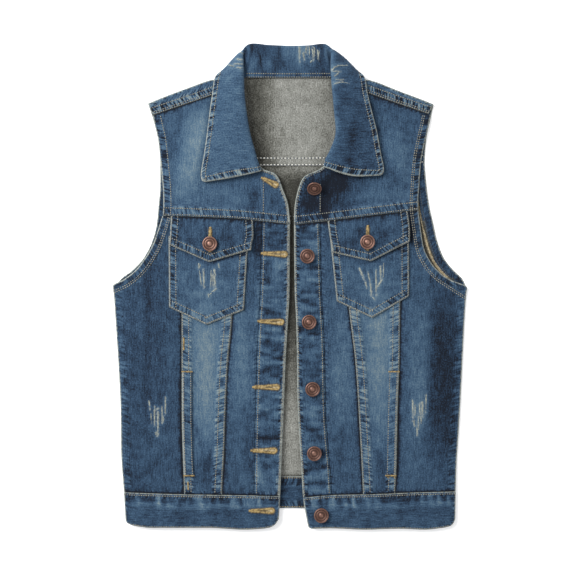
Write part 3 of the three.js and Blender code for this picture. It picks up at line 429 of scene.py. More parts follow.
def scratched(x: Array, y: Array, table: Rows, width: float) -> Array:
    """Return how strongly a table of scratches covers each point, out to a width."""
    total = np.zeros_like(x)
    for from_x, from_y, to_x, to_y, strength in table.rows:
        way_x, way_y = to_x - from_x, to_y - from_y
        share = ((x - from_x) * way_x + (y - from_y) * way_y) / (way_x**2 + way_y**2)
        share = np.clip(share, 0.0, 1.0)
        apart = np.hypot(x - from_x - way_x * share, y - from_y - way_y * share)
        total = np.maximum(total, strength * bump(apart, width))
    return total


class Lie:
    """How high the vest's layers lie over the surface."""

    def __init__(self) -> None:
        """Keep the lines that the heights are worked out from."""
        self.lines = {
            "shoulder": SHOULDER_LINE.smooth("up"),
            "back_waist": BACK_WAIST_SEAM.smooth("up"),
            **{f"body_{s.value}": FRONT[s.value].smooth("outer") for s in Side},
            **{f"yoke_{s.value}": YOKE[s.value].smooth("outer") for s in Side},
        }

    def back_under(self, x: Array, y: Array) -> Array:
        """Return the underside of the back: raised where the collar's leaf lies under it."""
        leaf = COLLAR_THICK + LAYER_GAP
        return leaf * ramp(np.abs(x), 115, 94) * ramp(y, 484, 504)

    def back_top(self, x: Array, y: Array) -> Array:
        """Return the highest that the back reaches at a point."""
        seam = self.lines["back_waist"](x)
        waistband = (WAISTBAND_THICK - CLOTH) * ramp(y, seam + 55, seam)
        hem = FELL_RAISE * ramp(y, 262, 278)
        return self.back_under(x, y) + CLOTH + np.maximum(waistband, hem)

    def relief(self, table: Rows, x: Array, y: Array) -> Array:
        """Return the height that a table of ridges and troughs gives at each point."""
        total = np.zeros_like(x)
        for from_x, from_y, to_x, to_y, width, fade, height in table.rows:
            dx, dy = to_x - from_x, to_y - from_y
            length = math.hypot(dx, dy)
            along = ((x - from_x) * dx + (y - from_y) * dy) / length
            aside = ((x - from_x) * dy - (y - from_y) * dx) / length
            ends = ramp(along, -fade, fade) * ramp(along, length + fade, length - fade)
            total += height * ends * bump(aside, width)
        return total

    def front_under(self, x: Array, y: Array) -> Array:
        """Return the underside of the fronts, with their folds and creases."""
        sides = {
            s: np.where(
                y > YOKE_START, self.lines[f"yoke_{s.value}"](y), self.lines[f"body_{s.value}"](y)
            )
            for s in Side
        }
        outer = np.where(x < 0, -sides[Side.LEFT], sides[Side.RIGHT])
        inward = np.maximum(0.0, np.minimum(outer - np.abs(x), self.lines["shoulder"](x) - y))
        bulge = LOFT * (1 - np.exp(-inward / LOFT_REACH)) * (1 - 0.85 * ramp(y, 440, 478))
        soft = self.relief(FOLDS, x, y) + self.relief(CREASES, x, y) * ramp(inward, 0, 6)
        return self.back_top(x, y) + LAYER_GAP + bulge + soft

    def fade(self, x: Array, y: Array) -> Array:
        """Return how much more the wash has faded each point than the cloth around it, with painted shade
        in creases' troughs and painted shadows from the table of fades.
        """
        total = CREASE_FADE_AND_SHADE * self.relief(CREASES, x, y)
        for name, table in FRAYS.items():
            if name != "collar":
                shade = SCRATCH_SHADE * scratched(x, y, table, 6.0)
                total += SCRATCH_FADE * scratched(x, y, table, 2.6) - shade
        # Fades of the wash, and painted shadows where the amount is negative
        for cx, cy, wide, high, tilt, amount in FADES_AND_SHADOWS.rows:
            turn = math.radians(tilt)
            u = (x - cx) * math.cos(turn) + (y - cy) * math.sin(turn)
            v = (y - cy) * math.cos(turn) - (x - cx) * math.sin(turn)
            total += amount * np.exp(-((u / wide) ** 2)) * np.exp(-(np.abs(v / high) ** 3))
        return total


LIE = Lie()


@dataclass(frozen=True)
class Stations:
    """Where grid lines run between two edges: a share of the way and a shift in millimetres."""

    share: Array
    shift: Array

    @staticmethod
    def between(
        length: float, step: float, start: Sequence[float], end: Sequence[float]
    ) -> "Stations":
        """Return even lines between an edge's own lines at either end.

        Args:
            length: Rough distance between the edges.
            step: Distance between two even lines.
            start: Distances of the lines beside the first edge, rising from 0.
            end: Distances of the lines beside the last edge, rising from 0.

        Returns:
            The stations in order.
        """
        inner = max(2, round((length - start[-1] - end[-1]) / step))
        even = np.linspace(0.0, 1.0, inner + 1)[1:-1]
        share = np.concatenate([np.zeros(len(start)), even, np.ones(len(end))])
        between = start[-1] * (1 - even) - end[-1] * even
        shift = np.concatenate([np.array(start), between, -np.array(end)[::-1]])
        return Stations(share, shift)

    def at(self, low: Array, high: Array) -> Array:
        """Return the lines' places between two edges."""
        return low + (high - low) * self.share + self.shift



@dataclass(frozen=True)
class EdgeForm:
    """The mesh's own lines beside one kind of edge, and how far and how much it puckers."""

    lines: tuple[float, ...]
    reach: float
    pucker: float


EDGE_FORMS = {
    Edge.FOLD: EdgeForm((0.0, 0.3, 0.8, 1.4, 2.4, 3.6), 9.5, 1.0),
    Edge.RAISED: EdgeForm(
        (0.0, 0.3, 0.8, 1.4, 2.4, 4.0, 5.6, 7.4, 8.6, 9.8, 10.6, 11.5, 12.6), 11.0, 1.0
    ),
    Edge.LOW: EdgeForm((0.0, 0.5, 1.2, 2.4), 4.0, 0.5),
    Edge.SEWN: EdgeForm((0.0, 0.7, 1.5, 2.4, 3.6), 4.0, 0.7),
    Edge.PLAIN: EdgeForm((0.0,), 0.0, 0.0),
}
SIDES = ("left", "right", "bottom", "top")
ARC = np.arange(-300.0, 700.0, 1.0)
# Distance between two points of a row of stitches, and the share of a side that a row runs along
ROW_STEP = 2.5
WHOLE_ROW = (0.01, 0.99)
# Share of a piece that the mesh's own lines beside one side may take
EDGE_ROOM = 0.42
# Rounds in which the places of a grid settle, and the height up the vest that they start from
ROUNDS = 40
START_UP = 200.0
TURNED_TONE = 0.17
# Height and wear that full puckers and crumples give a panel
PUCKER_RISE, PUCKER_WEAR = 0.17, 0.045
CRUMPLE_RISE, CRUMPLE_WEAR = 0.2, 0.11
# Depth of the shade in a low seam, and of the line in a flush one
LOW_SHADE, SEWN_SHADE = 0.42, 0.10


@dataclass
class Near:
    """Distances from a piece's points to its four sides, in millimetres."""

    left: Array
    right: Array
    bottom: Array
    top: Array

    def side(self, name: str) -> Array:
        """Return the distances to a named side."""
        return getattr(self, name)


def even(thickness: float) -> Spread:
    """Return the same thickness everywhere."""
    return lambda x, y, near: np.full_like(x, thickness)


def felled(distance: Array) -> Array:
    """Return the raise of a felled band at a distance from its edge."""
    return FELL_RAISE * ramp(distance, FELL_WIDTH + 1.1, FELL_WIDTH + 0.1)


def two_felled(x: Array, y: Array, near: Near) -> Array:
    """Return the thickness of cloth with a felled band on its left and its right."""
    return CLOTH + np.maximum(felled(near.left), felled(near.right))


def hemmed(side: str, low: float, high: float) -> Spread:
    """Return the thickness of cloth whose hem on one side starts between two heights."""
    return lambda x, y, near: CLOTH + felled(near.side(side)) * ramp(y, low, high)


@dataclass
class Beside:
    """Where points lie beside one side of a piece: along it and square away from it."""

    along: Array
    away: Array


@dataclass
class Panel:
    """A piece of cloth that lies between two edges and two seams."""

    node: str
    left: Line
    right: Line
    bottom: Line
    top: Line
    size: tuple[float, float]
    under: Surface
    thick: Spread = even(CLOTH)
    edges: dict[str, Edge] = field(default_factory=dict)
    reach: dict[str, float] = field(default_factory=dict)
    worn: dict[str, float] = field(default_factory=dict)
    rows: dict[str, tuple[float, ...]] = field(default_factory=dict)
    tone: float = 0.36
    under_tone: float = 0.55
    pucker: float = 1.0
    crumple: float = 0.3
    band: float = -0.05
    face: Face = Face.RIGHT
    step: float = 2.2
    turned: float = 0.0
    seed: int = 1
    fades: bool = True
    rests_on: tuple[str, ...] = ("floor",)
    crossgrain: bool = False
    # Its own wear, and painted shade and shadow, added to the panel's wear
    extra_wear: Spread | None = None

    def edge(self, name: str) -> Edge:
        """Return how a named side is finished."""
        return self.edges.get(name, Edge.PLAIN)

    def place(self, across: Stations, along: Stations) -> tuple[Array, Array]:
        """Return the plan places of a grid as x and y, with a row for each line along."""
        middle = np.full((len(along.share), len(across.share)), START_UP)
        x = across.at(self.left(middle), self.right(middle))
        y = middle
        up = Stations(along.share[:, None], along.shift[:, None])
        for _ in range(ROUNDS):
            y = up.at(self.bottom(x), self.top(x))
            x = across.at(self.left(y), self.right(y))
        return x, y

    def near(self, x: Array, y: Array) -> Near:
        """Return the distances of points to the four sides, along x or y."""
        return Near(x - self.left(y), self.right(y) - x, y - self.bottom(x), self.top(x) - y)

    def beside(self, name: str, x: Array, y: Array) -> Beside:
        """Return where points lie beside a named side."""
        line = getattr(self, name)
        base, other = (y, x) if name in ("left", "right") else (x, y)
        gap = other - line(base)
        slope = line(base + 0.5) - line(base - 0.5)
        square = 1 + slope**2
        run = np.concatenate([[0.0], np.cumsum(np.hypot(1.0, np.diff(line(ARC))))])
        along = np.interp(base + slope * gap / square, ARC, run)
        sign = -1.0 if name in ("right", "top") else 1.0
        return Beside(along, sign * gap / np.sqrt(square))

    def finish(self, x: Array, y: Array) -> dict[str, tuple[Edge, Beside]]:
        """Return the finish of each side that shows, and where points lie beside it."""
        shown = [name for name in SIDES if self.edge(name) is not Edge.PLAIN]
        return {name: (self.edge(name), self.beside(name, x, y)) for name in shown}

    def reach_of(self, name: str) -> float:
        """Return how far the puckers of a side's stitching reach into the cloth."""
        return self.reach.get(name, EDGE_FORMS[self.edge(name)].reach)

    def puckers(self, x: Array, y: Array) -> Array:
        """Return the seams' own small waves, from about -1 to 1."""
        total = np.zeros_like(x)
        for i, (name, (kind, at)) in enumerate(self.finish(x, y).items()):
            s = at.along + 0.5 * at.away
            wave = noise_1d(s, 4.6, self.seed * 7 + i) + 0.6 * noise_1d(s, 2.7, self.seed * 11 + i)
            reach = self.reach_of(name)
            fade = ramp(at.away, reach + 2.0, reach * 0.6) * ramp(at.away, 0.2, 1.4)
            total += EDGE_FORMS[kind].pucker * wave * fade
        return total

    def crumples(self, x: Array, y: Array) -> Array:
        """Return small creases that run across the piece, from about -1 to 1."""
        across = 0.35 if self.size[1] > self.size[0] else 0.9
        along = 1.0 if self.size[1] > self.size[0] else 0.35
        large = noise_2d(x * across, y * along, 4.8, self.seed + 60)
        small = noise_2d(x * across * 1.6, y * along * 1.6, 4.8, self.seed + 61)
        return large + 0.6 * small

    def crown(self, x: Array, y: Array) -> Array:
        """Return how far the cloth rounds off towards its edges, from 0 at an edge to 1."""
        total = np.ones_like(x)
        for kind, at in self.finish(x, y).values():
            if kind in (Edge.FOLD, Edge.RAISED):
                t = np.clip(at.away / 1.2, 0.0, 1.0)
                total = np.minimum(total, 0.3 + 0.7 * np.sqrt(1 - (1 - t) ** 2))
            elif kind is Edge.SEWN:
                total = np.minimum(total, 0.52 + 0.48 * ramp(at.away, 0.0, 3.0))
        return total

    def top_height(self, x: Array, y: Array) -> Array:
        """Return the height of the upper face at each point."""
        full = self.thick(x, y, self.near(x, y)) * self.crown(x, y)
        relief = PUCKER_RISE * self.pucker * self.puckers(x, y)
        relief += CRUMPLE_RISE * self.crumple * self.crumples(x, y)
        return self.under(x, y) + full + relief

    def on_top(self, x: Array, y: Array, lift: float = 0.0) -> Array:
        """Return points on the upper face, or a little above it."""
        return np.column_stack([x, y, self.top_height(x, y) + lift])

    def wear(self, x: Array, y: Array) -> Array:
        """Return how worn the upper face is: 0 is unworn, 1 is white, less is in shade."""
        total = self.tone + PUCKER_WEAR * self.pucker * self.puckers(x, y)
        total += CRUMPLE_WEAR * self.crumple * self.crumples(x, y)
        total += 0.04 * noise_2d(x, y, 9.0, self.seed) + 0.03 * noise_2d(x, y, 4.1, self.seed + 40)
        if self.fades:
            total += LIE.fade(x, y)
        for kind, at in self.finish(x, y).values():
            if kind is Edge.RAISED:
                total += 0.09 * bump(at.away - FELL_WIDTH, 1.1) + self.band * ramp(at.away, 10.5, 9.5)
            elif kind is Edge.LOW:
                total -= LOW_SHADE * bump(at.away, 1.5) + 0.06 * bump(at.away, 5.0)
            elif kind is Edge.SEWN:
                total -= SEWN_SHADE * bump(at.away, 0.9)
        if self.extra_wear:
            total += self.extra_wear(x, y, self.near(x, y))
        return np.clip(total, DARKEST_WEAR, 1.0)

    def worn_edge(self, x: Array, y: Array) -> Array:
        """Return the mask of the edges where the wear shows the cream core."""
        total = np.zeros_like(x)
        for name, (kind, at) in self.finish(x, y).items():
            if kind is Edge.FOLD:
                total = np.maximum(total, bump(at.away, self.worn.get(name, 1.5)))
            elif kind is Edge.RAISED:
                total = np.maximum(total, 0.85 * bump(at.away, 1.0))
        if self.node in FRAYS:
            total = np.maximum(total, 0.6 * scratched(x, y, FRAYS[self.node], 1.5))
        return total

    def seams(self, x: Array, y: Array, first: str, second: str) -> Array:
        """Return where points lie beside the closer of two opposite sides.

        Args:
            x: Places across.
            y: Places along.
            first: One side.
            second: The side opposite.

        Returns:
            Metres along the side, metres away from it, and how strongly its seam puckers.
        """
        best = np.zeros((*x.shape, 3))
        for name in (first, second):
            kind = self.edge(name)
            if kind is Edge.PLAIN:
                continue
            at = self.beside(name, x, y)
            reach = self.reach_of(name)
            mask = self.pucker * EDGE_FORMS[kind].pucker * ramp(at.away, reach + 1.6, reach - 0.4)
            here = np.stack([at.along * MM, at.away * MM, mask], axis=-1)
            best = np.where(mask[..., None] > best[..., 2:], here, best)
        return best

    def row(self, name: str, offset: float, start: float = 0.0, end: float = 1.0) -> Array:
        """Return a line on the upper face, beside one of the sides.

        Args:
            name: The side that the line runs beside.
            offset: Its distance from that side.
            start: Share of the side at which it starts.
            end: Share of the side at which it ends.

        Returns:
            The points, one in each row.
        """
        upright = name in ("left", "right")
        line = getattr(self, name)
        length = self.size[1 if upright else 0] * abs(end - start)
        share = np.linspace(start, end, max(4, int(length / ROW_STEP)))
        along = Stations(share, np.zeros_like(share))
        last = name in ("right", "top")
        beside = Stations(np.array([1.0 if last else 0.0]), np.array([0.0]))
        x, y = self.place(beside, along) if upright else self.place(along, beside)
        x, y = x.ravel(), y.ravel()
        base = y if upright else x
        slope = line(base + 0.5) - line(base - 0.5)
        away = (-offset if last else offset) / np.sqrt(1 + slope**2)
        x, y = (x + away, y - away * slope) if upright else (x - away * slope, y + away)
        return self.on_top(x, y)

    def sew(self, thread: "Sewing", spans: dict[str, tuple[float, float]] | None = None) -> None:
        """Add the piece's own rows of stitches.

        Args:
            thread: Takes the rows.
            spans: Shares of a side at which its rows start and end, where they don't run right along.
        """
        for name, offsets in self.rows.items():
            for offset in offsets:
                thread.add(self.row(name, offset, *(spans or {}).get(name, WHOLE_ROW)))

    def lines(self, name: str) -> list[float]:
        """Return the mesh's own lines beside a side, as far as the piece has room for them."""
        room = EDGE_ROOM * (self.size[0] if name in ("left", "right") else self.size[1])
        return [line for line in EDGE_FORMS[self.edge(name)].lines if line <= room]

    def build(self) -> bpy.types.Object:
        """Return the piece as an object that stands for its node."""
        across = Stations.between(self.size[0], self.step, self.lines("left"), self.lines("right"))
        along = Stations.between(self.size[1], self.step, self.lines("bottom"), self.lines("top"))
        x, y = self.place(across, along)
        wear = self.wear(x, y)
        turned = np.zeros(x.shape, bool)
        for name, (kind, at) in self.finish(x, y).items():
            if self.turned and kind is Edge.FOLD:
                turned |= at.away < self.turned
        wear = np.where(turned, TURNED_TONE + 0.05 * noise_2d(x, y, 4.0, 9), wear)
        edge = self.worn_edge(x, y)
        under_wear = self.under_tone + 0.05 * noise_2d(x, y, 9.0, self.seed + 80)
        shell = ClothMesh(
            upper=np.stack([x, y, self.top_height(x, y)], axis=-1),
            lower=np.stack([x, y, self.under(x, y)], axis=-1),
            wear=(wear, under_wear),
            edge=(edge, 0.7 * edge),
            seams=(self.seams(x, y, "left", "right"), self.seams(x, y, "bottom", "top")),
            uv=np.stack([y, x], axis=-1) if self.crossgrain else np.stack([x, y], axis=-1),
        )
        return shell.make(self.node, self.face, turned)

    def flat_area(self) -> float:
        """Return the area of the cut piece, along the surface that it lies on, in square metres."""
        line = Stations(np.linspace(0, 1, 60), np.zeros(60))
        x, y = self.place(line, line)
        p = np.stack([x, y, self.under(x, y)], axis=-1)
        one, other = p[1:, 1:] - p[:-1, :-1], p[1:, :-1] - p[:-1, 1:]
        return float(np.linalg.norm(np.cross(one, other), axis=-1).sum() / 2) * MM * MM


@dataclass
class ClothMesh:
    """The closed shell of a piece of cloth between an upper and a lower grid of points.

    Wear, which also carries painted shade, and worn edges are given for the upper and the lower
    face, the seams' places for the upper face alone, beside the upright and beside the level sides.
    """

    upper: Array
    lower: Array
    wear: tuple[Array, Array]
    edge: tuple[Array, Array]
    seams: tuple[Array, Array]
    uv: Array

    def make(self, node: str, face: Face, turned: Array) -> bpy.types.Object:
        """Return the shell as an object that stands for a node.

        Args:
            node: The node.
            face: Which side of the cloth shows from above.
            turned: Marks the points whose upper face is a turned hem.

        Returns:
            The object.
        """
        rows, columns = self.upper.shape[:2]
        count = rows * columns
        grid = np.arange(count).reshape(rows, columns)
        a, b, c, d = grid[:-1, :-1], grid[:-1, 1:], grid[1:, 1:], grid[1:, :-1]
        over = np.stack([a, b, c, d], axis=-1).reshape(-1, 4)
        below = np.stack([a, d, c, b], axis=-1).reshape(-1, 4) + count
        rims = []
        borders = (grid[:, 0], False), (grid[:, -1], True), (grid[0], True), (grid[-1], False)
        for line, flip in borders:
            first, second = line[:-1], line[1:]
            quad = [first, second, second + count, first + count]
            rims.append(np.stack(quad[::-1] if flip else quad, axis=-1))
        faces = np.concatenate([over, below, *rims])
        points = np.concatenate([self.upper.reshape(-1, 3), self.lower.reshape(-1, 3)])
        mesh = new_mesh(node, points, [], faces.tolist())
        for name, pair in (("wear", self.wear), ("edge", self.edge)):
            attribute(mesh, name, np.concatenate([part.ravel() for part in pair]))
        for name, part in zip(("seam_upright", "seam_level"), self.seams):
            flat = part.reshape(-1, 3)
            attribute(mesh, name, np.concatenate([flat, flat * [1.0, 1.0, 0.0]]))
        uv = np.tile(self.uv.reshape(-1, 2) * MM, (2, 1))
        layer = mesh.uv_layers.new(name="cloth")
        layer.data.foreach_set("uv", uv[faces.ravel()].ravel().astype(np.float32))
        for finish in (FINISHES.denim, FINISHES.inside):
            mesh.materials.append(finish)
        slots = np.zeros(len(faces), np.int32)
        if face is Face.RIGHT:
            slots[len(over) : 2 * len(over)] = 1
        elif face is Face.WRONG:
            slots[: len(over)] = np.where(turned[:-1, :-1].ravel(), 0, 1)
        mesh.polygons.foreach_set("material_index", slots)
        mesh.validate()
        mesh.update()
        return dress(placed(f"cloth_{node}", mesh), node)


def new_mesh(name: str, points: Array, edges: list, faces: list) -> bpy.types.Mesh:
    """Return a smooth mesh of points that are in millimetres, above the hem's middle."""
    mesh = bpy.data.meshes.new(name)
    mesh.from_pydata(((points - np.array([0.0, LENGTH / 2, 0.0])) * MM).tolist(), edges, faces)
    mesh.polygons.foreach_set("use_smooth", np.ones(len(faces), bool))
    return mesh


def attribute(mesh: bpy.types.Mesh, name: str, values: Array) -> None:
    """Give a mesh a number or a vector at each point."""
    kind, key = ("FLOAT", "value") if values.ndim == 1 else ("FLOAT_VECTOR", "vector")
    mesh.attributes.new(name, kind, "POINT").data.foreach_set(key, values.ravel().astype(np.float32))


def placed(name: str, data: bpy.types.ID) -> bpy.types.Object:
    """Return a new object in the scene."""
    obj = bpy.data.objects.new(name, data)
    bpy.context.scene.collection.objects.link(obj)
    return obj


def dress(obj: bpy.types.Object, node: str | None) -> bpy.types.Object:
    """Let an object ride, hide the node's part that it stands for, and return it."""
    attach(obj, "root")
    if node:
        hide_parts(node)
    return obj


# Finishes


@dataclass(frozen=True)
class Ramp:
    """Colours of the cloth from unworn to white, as place and linear colour."""

    stops: tuple[tuple[float, Color], ...]

    def fill(self, node: bpy.types.Node) -> None:
        """Set a Color Ramp node's stops."""
        ramp_stops = node.color_ramp.elements
        while len(ramp_stops) > 1:
            ramp_stops.remove(ramp_stops[-1])
        for i, (place, color) in enumerate(self.stops):
            stop = ramp_stops[0] if i == 0 else ramp_stops.new(place)
            stop.position = place
            stop.color = (*color, 1.0)


INDIGO = Ramp((
    (0.0, (0.004, 0.007, 0.014)), (0.2, (0.015, 0.034, 0.066)), (0.4, (0.035, 0.073, 0.127)),
    (0.6, (0.068, 0.122, 0.180)), (0.8, (0.126, 0.178, 0.212)), (1.0, (0.205, 0.248, 0.245)),
))
CORE = (0.285, 0.305, 0.275)
TWILL_ANGLE = math.radians(62)
UNDYED = Ramp((
    (0.0, (0.035, 0.035, 0.029)), (0.35, (0.115, 0.115, 0.100)), (0.75, (0.265, 0.268, 0.245)),
    (1.0, (0.38, 0.38, 0.35)),
))


class NodeKit:
    """Adds and joins the nodes of one tree."""

    def __init__(self, tree: Tree) -> None:
        """Keep the tree."""
        self.tree = tree

    def give(self, node: bpy.types.Node, given: dict) -> None:
        """Join outputs to a node's inputs, or set the inputs to plain values, by name or number."""
        for key, value in given.items():
            if isinstance(value, Socket):
                self.tree.links.new(value, node.inputs[key])
            elif value is not None:
                node.inputs[key].default_value = value

    def add(self, kind: str, given: dict | None = None, **settings: object) -> bpy.types.Node:
        """Add a node.

        Args:
            kind: Its type.
            given: What its inputs are joined to or set to, by name or number.
            settings: Its own properties.

        Returns:
            The node.
        """
        node = self.tree.nodes.new(kind)
        for name, value in settings.items():
            setattr(node, name, value)
        self.give(node, given or {})
        return node

    def math(self, operation: str, first: object, second: object = None) -> Socket:
        """Return the result of a Math node on sockets or numbers."""
        return self.add("ShaderNodeMath", {0: first, 1: second}, operation=operation).outputs[0]

    def swing(self, value: Socket, amount: object) -> Socket:
        """Return a 0 to 1 value as a swing about 0 of the given amount, a number or a socket."""
        return self.math("MULTIPLY", self.math("SUBTRACT", value, 0.5), amount)

    def limit(self, value: Socket, low: float, high: float) -> Socket:
        """Return a value held between two bounds."""
        return self.add("ShaderNodeClamp", {"Value": value, "Min": low, "Max": high}).outputs[0]

    def noise(self, place: Socket, scale: Sequence[float], detail: float) -> Socket:
        """Return noise with its own scale along each axis, from about 0 to 1."""
        place = self.add("ShaderNodeMapping", {"Scale": scale, "Vector": place}).outputs[0]
        given = {"Scale": 1.0, "Detail": detail, "Vector": place}
        return self.add("ShaderNodeTexNoise", given, noise_dimensions="3D").outputs["Fac"]

    def grain(self, place: Socket, scale: float, detail: float) -> Socket:
        """Return noise with the same scale along all axes."""
        return self.noise(place, (scale, scale, scale), detail)

    def ramp(self, value: Socket, colors: Ramp) -> Socket:
        """Return the colour that a ramp has at a value."""
        node = self.add("ShaderNodeValToRGB", {"Fac": value})
        colors.fill(node)
        return node.outputs["Color"]


def new_group(name: str, kind: str, inputs: dict[str, str], results: dict[str, str]) -> tuple:
    """Start a node group.

    Args:
        name: Its name.
        kind: The type of its tree.
        inputs: Type of each input, by name.
        results: Type of each output, by name.

    Returns:
        A kit for its tree, its inputs as sockets to take from, and its output node.
    """
    tree = bpy.data.node_groups.new(name, kind)
    for way, sockets in (("INPUT", inputs), ("OUTPUT", results)):
        for socket, type_name in sockets.items():
            tree.interface.new_socket(socket, in_out=way, socket_type=f"NodeSocket{type_name}")
    kit = NodeKit(tree)
    return kit, kit.add("NodeGroupInput").outputs, kit.add("NodeGroupOutput")


def yarn_group() -> Tree:
    """Return the node group of the twill's yarns: a tone about 0 and a height."""
    inputs = {"Vector": "Vector", "Slub": "Float", "Speckle": "Float", "Mottle": "Float"}
    kit, given, result = new_group(
        "twill_yarns", "ShaderNodeTree", inputs, {"Tone": "Float", "Height": "Float"}
    )
    vector = given["Vector"]
    turned = kit.add("ShaderNodeMapping", {"Rotation": (0.0, 0.0, TWILL_ANGLE), "Vector": vector})
    wave = kit.add(
        "ShaderNodeTexWave",
        {"Scale": 260.0, "Distortion": 1.2, "Detail Scale": 2.0, "Vector": turned.outputs[0]},
        wave_type="BANDS", bands_direction="X",
    ).outputs["Fac"]
    slub = kit.swing(kit.noise(vector, (820.0, 75.0, 1.0), 2.0), given["Slub"])
    speckle = kit.swing(kit.noise(vector, (700.0, 560.0, 1.0), 1.0), given["Speckle"])
    mottle = kit.swing(kit.noise(vector, (170.0, 120.0, 1.0), 4.0), given["Mottle"])
    tone = kit.math("ADD", kit.math("ADD", slub, mottle), kit.math("ADD", kit.swing(wave, 0.06), speckle))
    kit.give(result, {"Tone": tone, "Height": kit.math("ADD", wave, kit.math("MULTIPLY", speckle, 2.0))})
    return kit.tree


def pucker_group() -> Tree:
    """Return the node group of a stitched seam's fine ladder of puckers."""
    inputs = {"Seam": "Vector", "Amount": "Float"}
    kit, given, result = new_group("seam_puckers", "ShaderNodeTree", inputs, {"Tone": "Float"})
    seam = kit.add("ShaderNodeSeparateXYZ", {0: given["Seam"]}).outputs
    across = kit.math("ADD", seam["X"], kit.math("MULTIPLY", seam["Y"], 0.35))
    lean = kit.add("ShaderNodeCombineXYZ", {"X": across, "Y": seam["Y"]}).outputs[0]
    fine = kit.limit(kit.swing(kit.noise(lean, (400.0, 70.0, 1.0), 1.0), 8.0), -1.0, 1.0)
    broad = kit.limit(kit.swing(kit.noise(lean, (190.0, 90.0, 1.0), 1.0), 2.0), -0.3, 0.3)
    total = kit.math("MULTIPLY", kit.math("ADD", fine, broad), seam["Z"])
    kit.give(result, {"Tone": kit.math("MULTIPLY", total, given["Amount"])})
    return kit.tree


def edge_group() -> Tree:
    """Return the node group that breaks up the cream line of a worn edge."""
    inputs = {"Vector": "Vector", "Edge": "Float"}
    kit, given, result = new_group("worn_edges", "ShaderNodeTree", inputs, {"Mask": "Float"})
    grain = kit.noise(given["Vector"], (420.0, 420.0, 1.0), 2.0)
    broken = kit.math("ADD", kit.math("MULTIPLY", grain, 2.6), -0.35)
    rough = kit.math("MULTIPLY", given["Edge"], broken)
    level = kit.math("MULTIPLY", kit.math("SUBTRACT", rough, 0.25), 1.7)
    kit.give(result, {"Mask": kit.limit(level, 0.0, 0.9)})
    return kit.tree


def new_material(name: str) -> tuple[bpy.types.Material, NodeKit, bpy.types.Node]:
    """Return a new material, a kit for its tree and its Principled BSDF node."""
    material = bpy.data.materials.new(name)
    material.use_nodes = True
    return material, NodeKit(material.node_tree), material.node_tree.nodes["Principled BSDF"]


@dataclass(frozen=True)
class ClothFinish:
    """One face of the cloth."""

    name: str
    colors: Ramp
    slub: float
    speckle: float
    mottle: float
    pucker: float
    bump: float

    def make(self, groups: Sequence[Tree]) -> bpy.types.Material:
        """Return the material, which reads the cloth's own wear with its painted shade, seams and map.

        Args:
            groups: Node groups of the yarns, the puckers and the worn edges.

        Returns:
            The material.
        """
        yarns, ladders, edges = groups
        material, kit, shader = new_material(self.name)
        uv = kit.add("ShaderNodeUVMap", uv_map="cloth").outputs["UV"]
        wear, edge, upright, level = (
            kit.add("ShaderNodeAttribute", attribute_type="GEOMETRY", attribute_name=name).outputs
            for name in ("wear", "edge", "seam_upright", "seam_level")
        )
        amounts = {"Slub": self.slub, "Speckle": self.speckle, "Mottle": self.mottle}
        cloth = kit.add("ShaderNodeGroup", node_tree=yarns)
        kit.give(cloth, {"Vector": uv, **amounts})
        tone = kit.math("ADD", wear["Fac"], cloth.outputs["Tone"])
        for seam in (upright, level):
            ladder = kit.add("ShaderNodeGroup", node_tree=ladders)
            kit.give(ladder, {"Amount": self.pucker, "Seam": seam["Vector"]})
            tone = kit.math("ADD", tone, ladder.outputs["Tone"])
        worn = kit.add("ShaderNodeGroup", node_tree=edges)
        kit.give(worn, {"Vector": uv, "Edge": edge["Fac"]})
        mix = kit.add("ShaderNodeMix", data_type="RGBA")
        kit.give(mix, {0: worn.outputs["Mask"], 6: kit.ramp(tone, self.colors), 7: (*CORE, 1.0)})
        height = kit.math("ADD", cloth.outputs["Height"], kit.math("MULTIPLY", tone, 1.5))
        relief = kit.add("ShaderNodeBump", {"Strength": self.bump, "Distance": 0.0005, "Height": height})
        kit.give(shader, {
            "Base Color": mix.outputs[2], "Normal": relief.outputs["Normal"], "Roughness": 0.92,
            "Specular IOR Level": 0.15, "Sheen Weight": 0.05, "Sheen Roughness": 0.6,
        })
        return material


@dataclass(frozen=True)
class ThreadFinish:
    """Sewing thread."""

    name: str
    color: Color
    dark: Color

    def make(self) -> bpy.types.Material:
        """Return the material, with a change of tone from stitch to stitch."""
        material, kit, shader = new_material(self.name)
        tone = kit.grain(kit.add("ShaderNodeTexCoord").outputs["Object"], 420.0, 1.0)
        color = kit.ramp(tone, Ramp(((0.35, self.dark), (0.6, self.color))))
        kit.give(shader, {"Base Color": color, "Roughness": 0.7, "Sheen Weight": 0.1})
        return material


@dataclass(frozen=True)
class CopperFinish:
    """Aged copper of the buttons, dark in its grooves."""

    name: str = "copper_aged"
    bright: Color = (0.28, 0.155, 0.118)
    middle: Color = (0.125, 0.062, 0.045)
    dull: Color = (0.04, 0.020, 0.016)

    def make(self) -> bpy.types.Material:
        """Return the material, which reads the button's own groove mask."""
        material, kit, shader = new_material(self.name)
        place = kit.add("ShaderNodeTexCoord").outputs["Object"]
        groove = kit.add("ShaderNodeAttribute", attribute_type="GEOMETRY", attribute_name="wear")
        tone = kit.math("ADD", groove.outputs["Fac"], kit.swing(kit.grain(place, 700.0, 3.0), 0.7))
        color = kit.ramp(tone, Ramp(((0.0, self.dull), (0.55, self.middle), (1.0, self.bright))))
        kit.give(shader, {"Base Color": color, "Metallic": 0.6, "Roughness": 0.45})
        return material


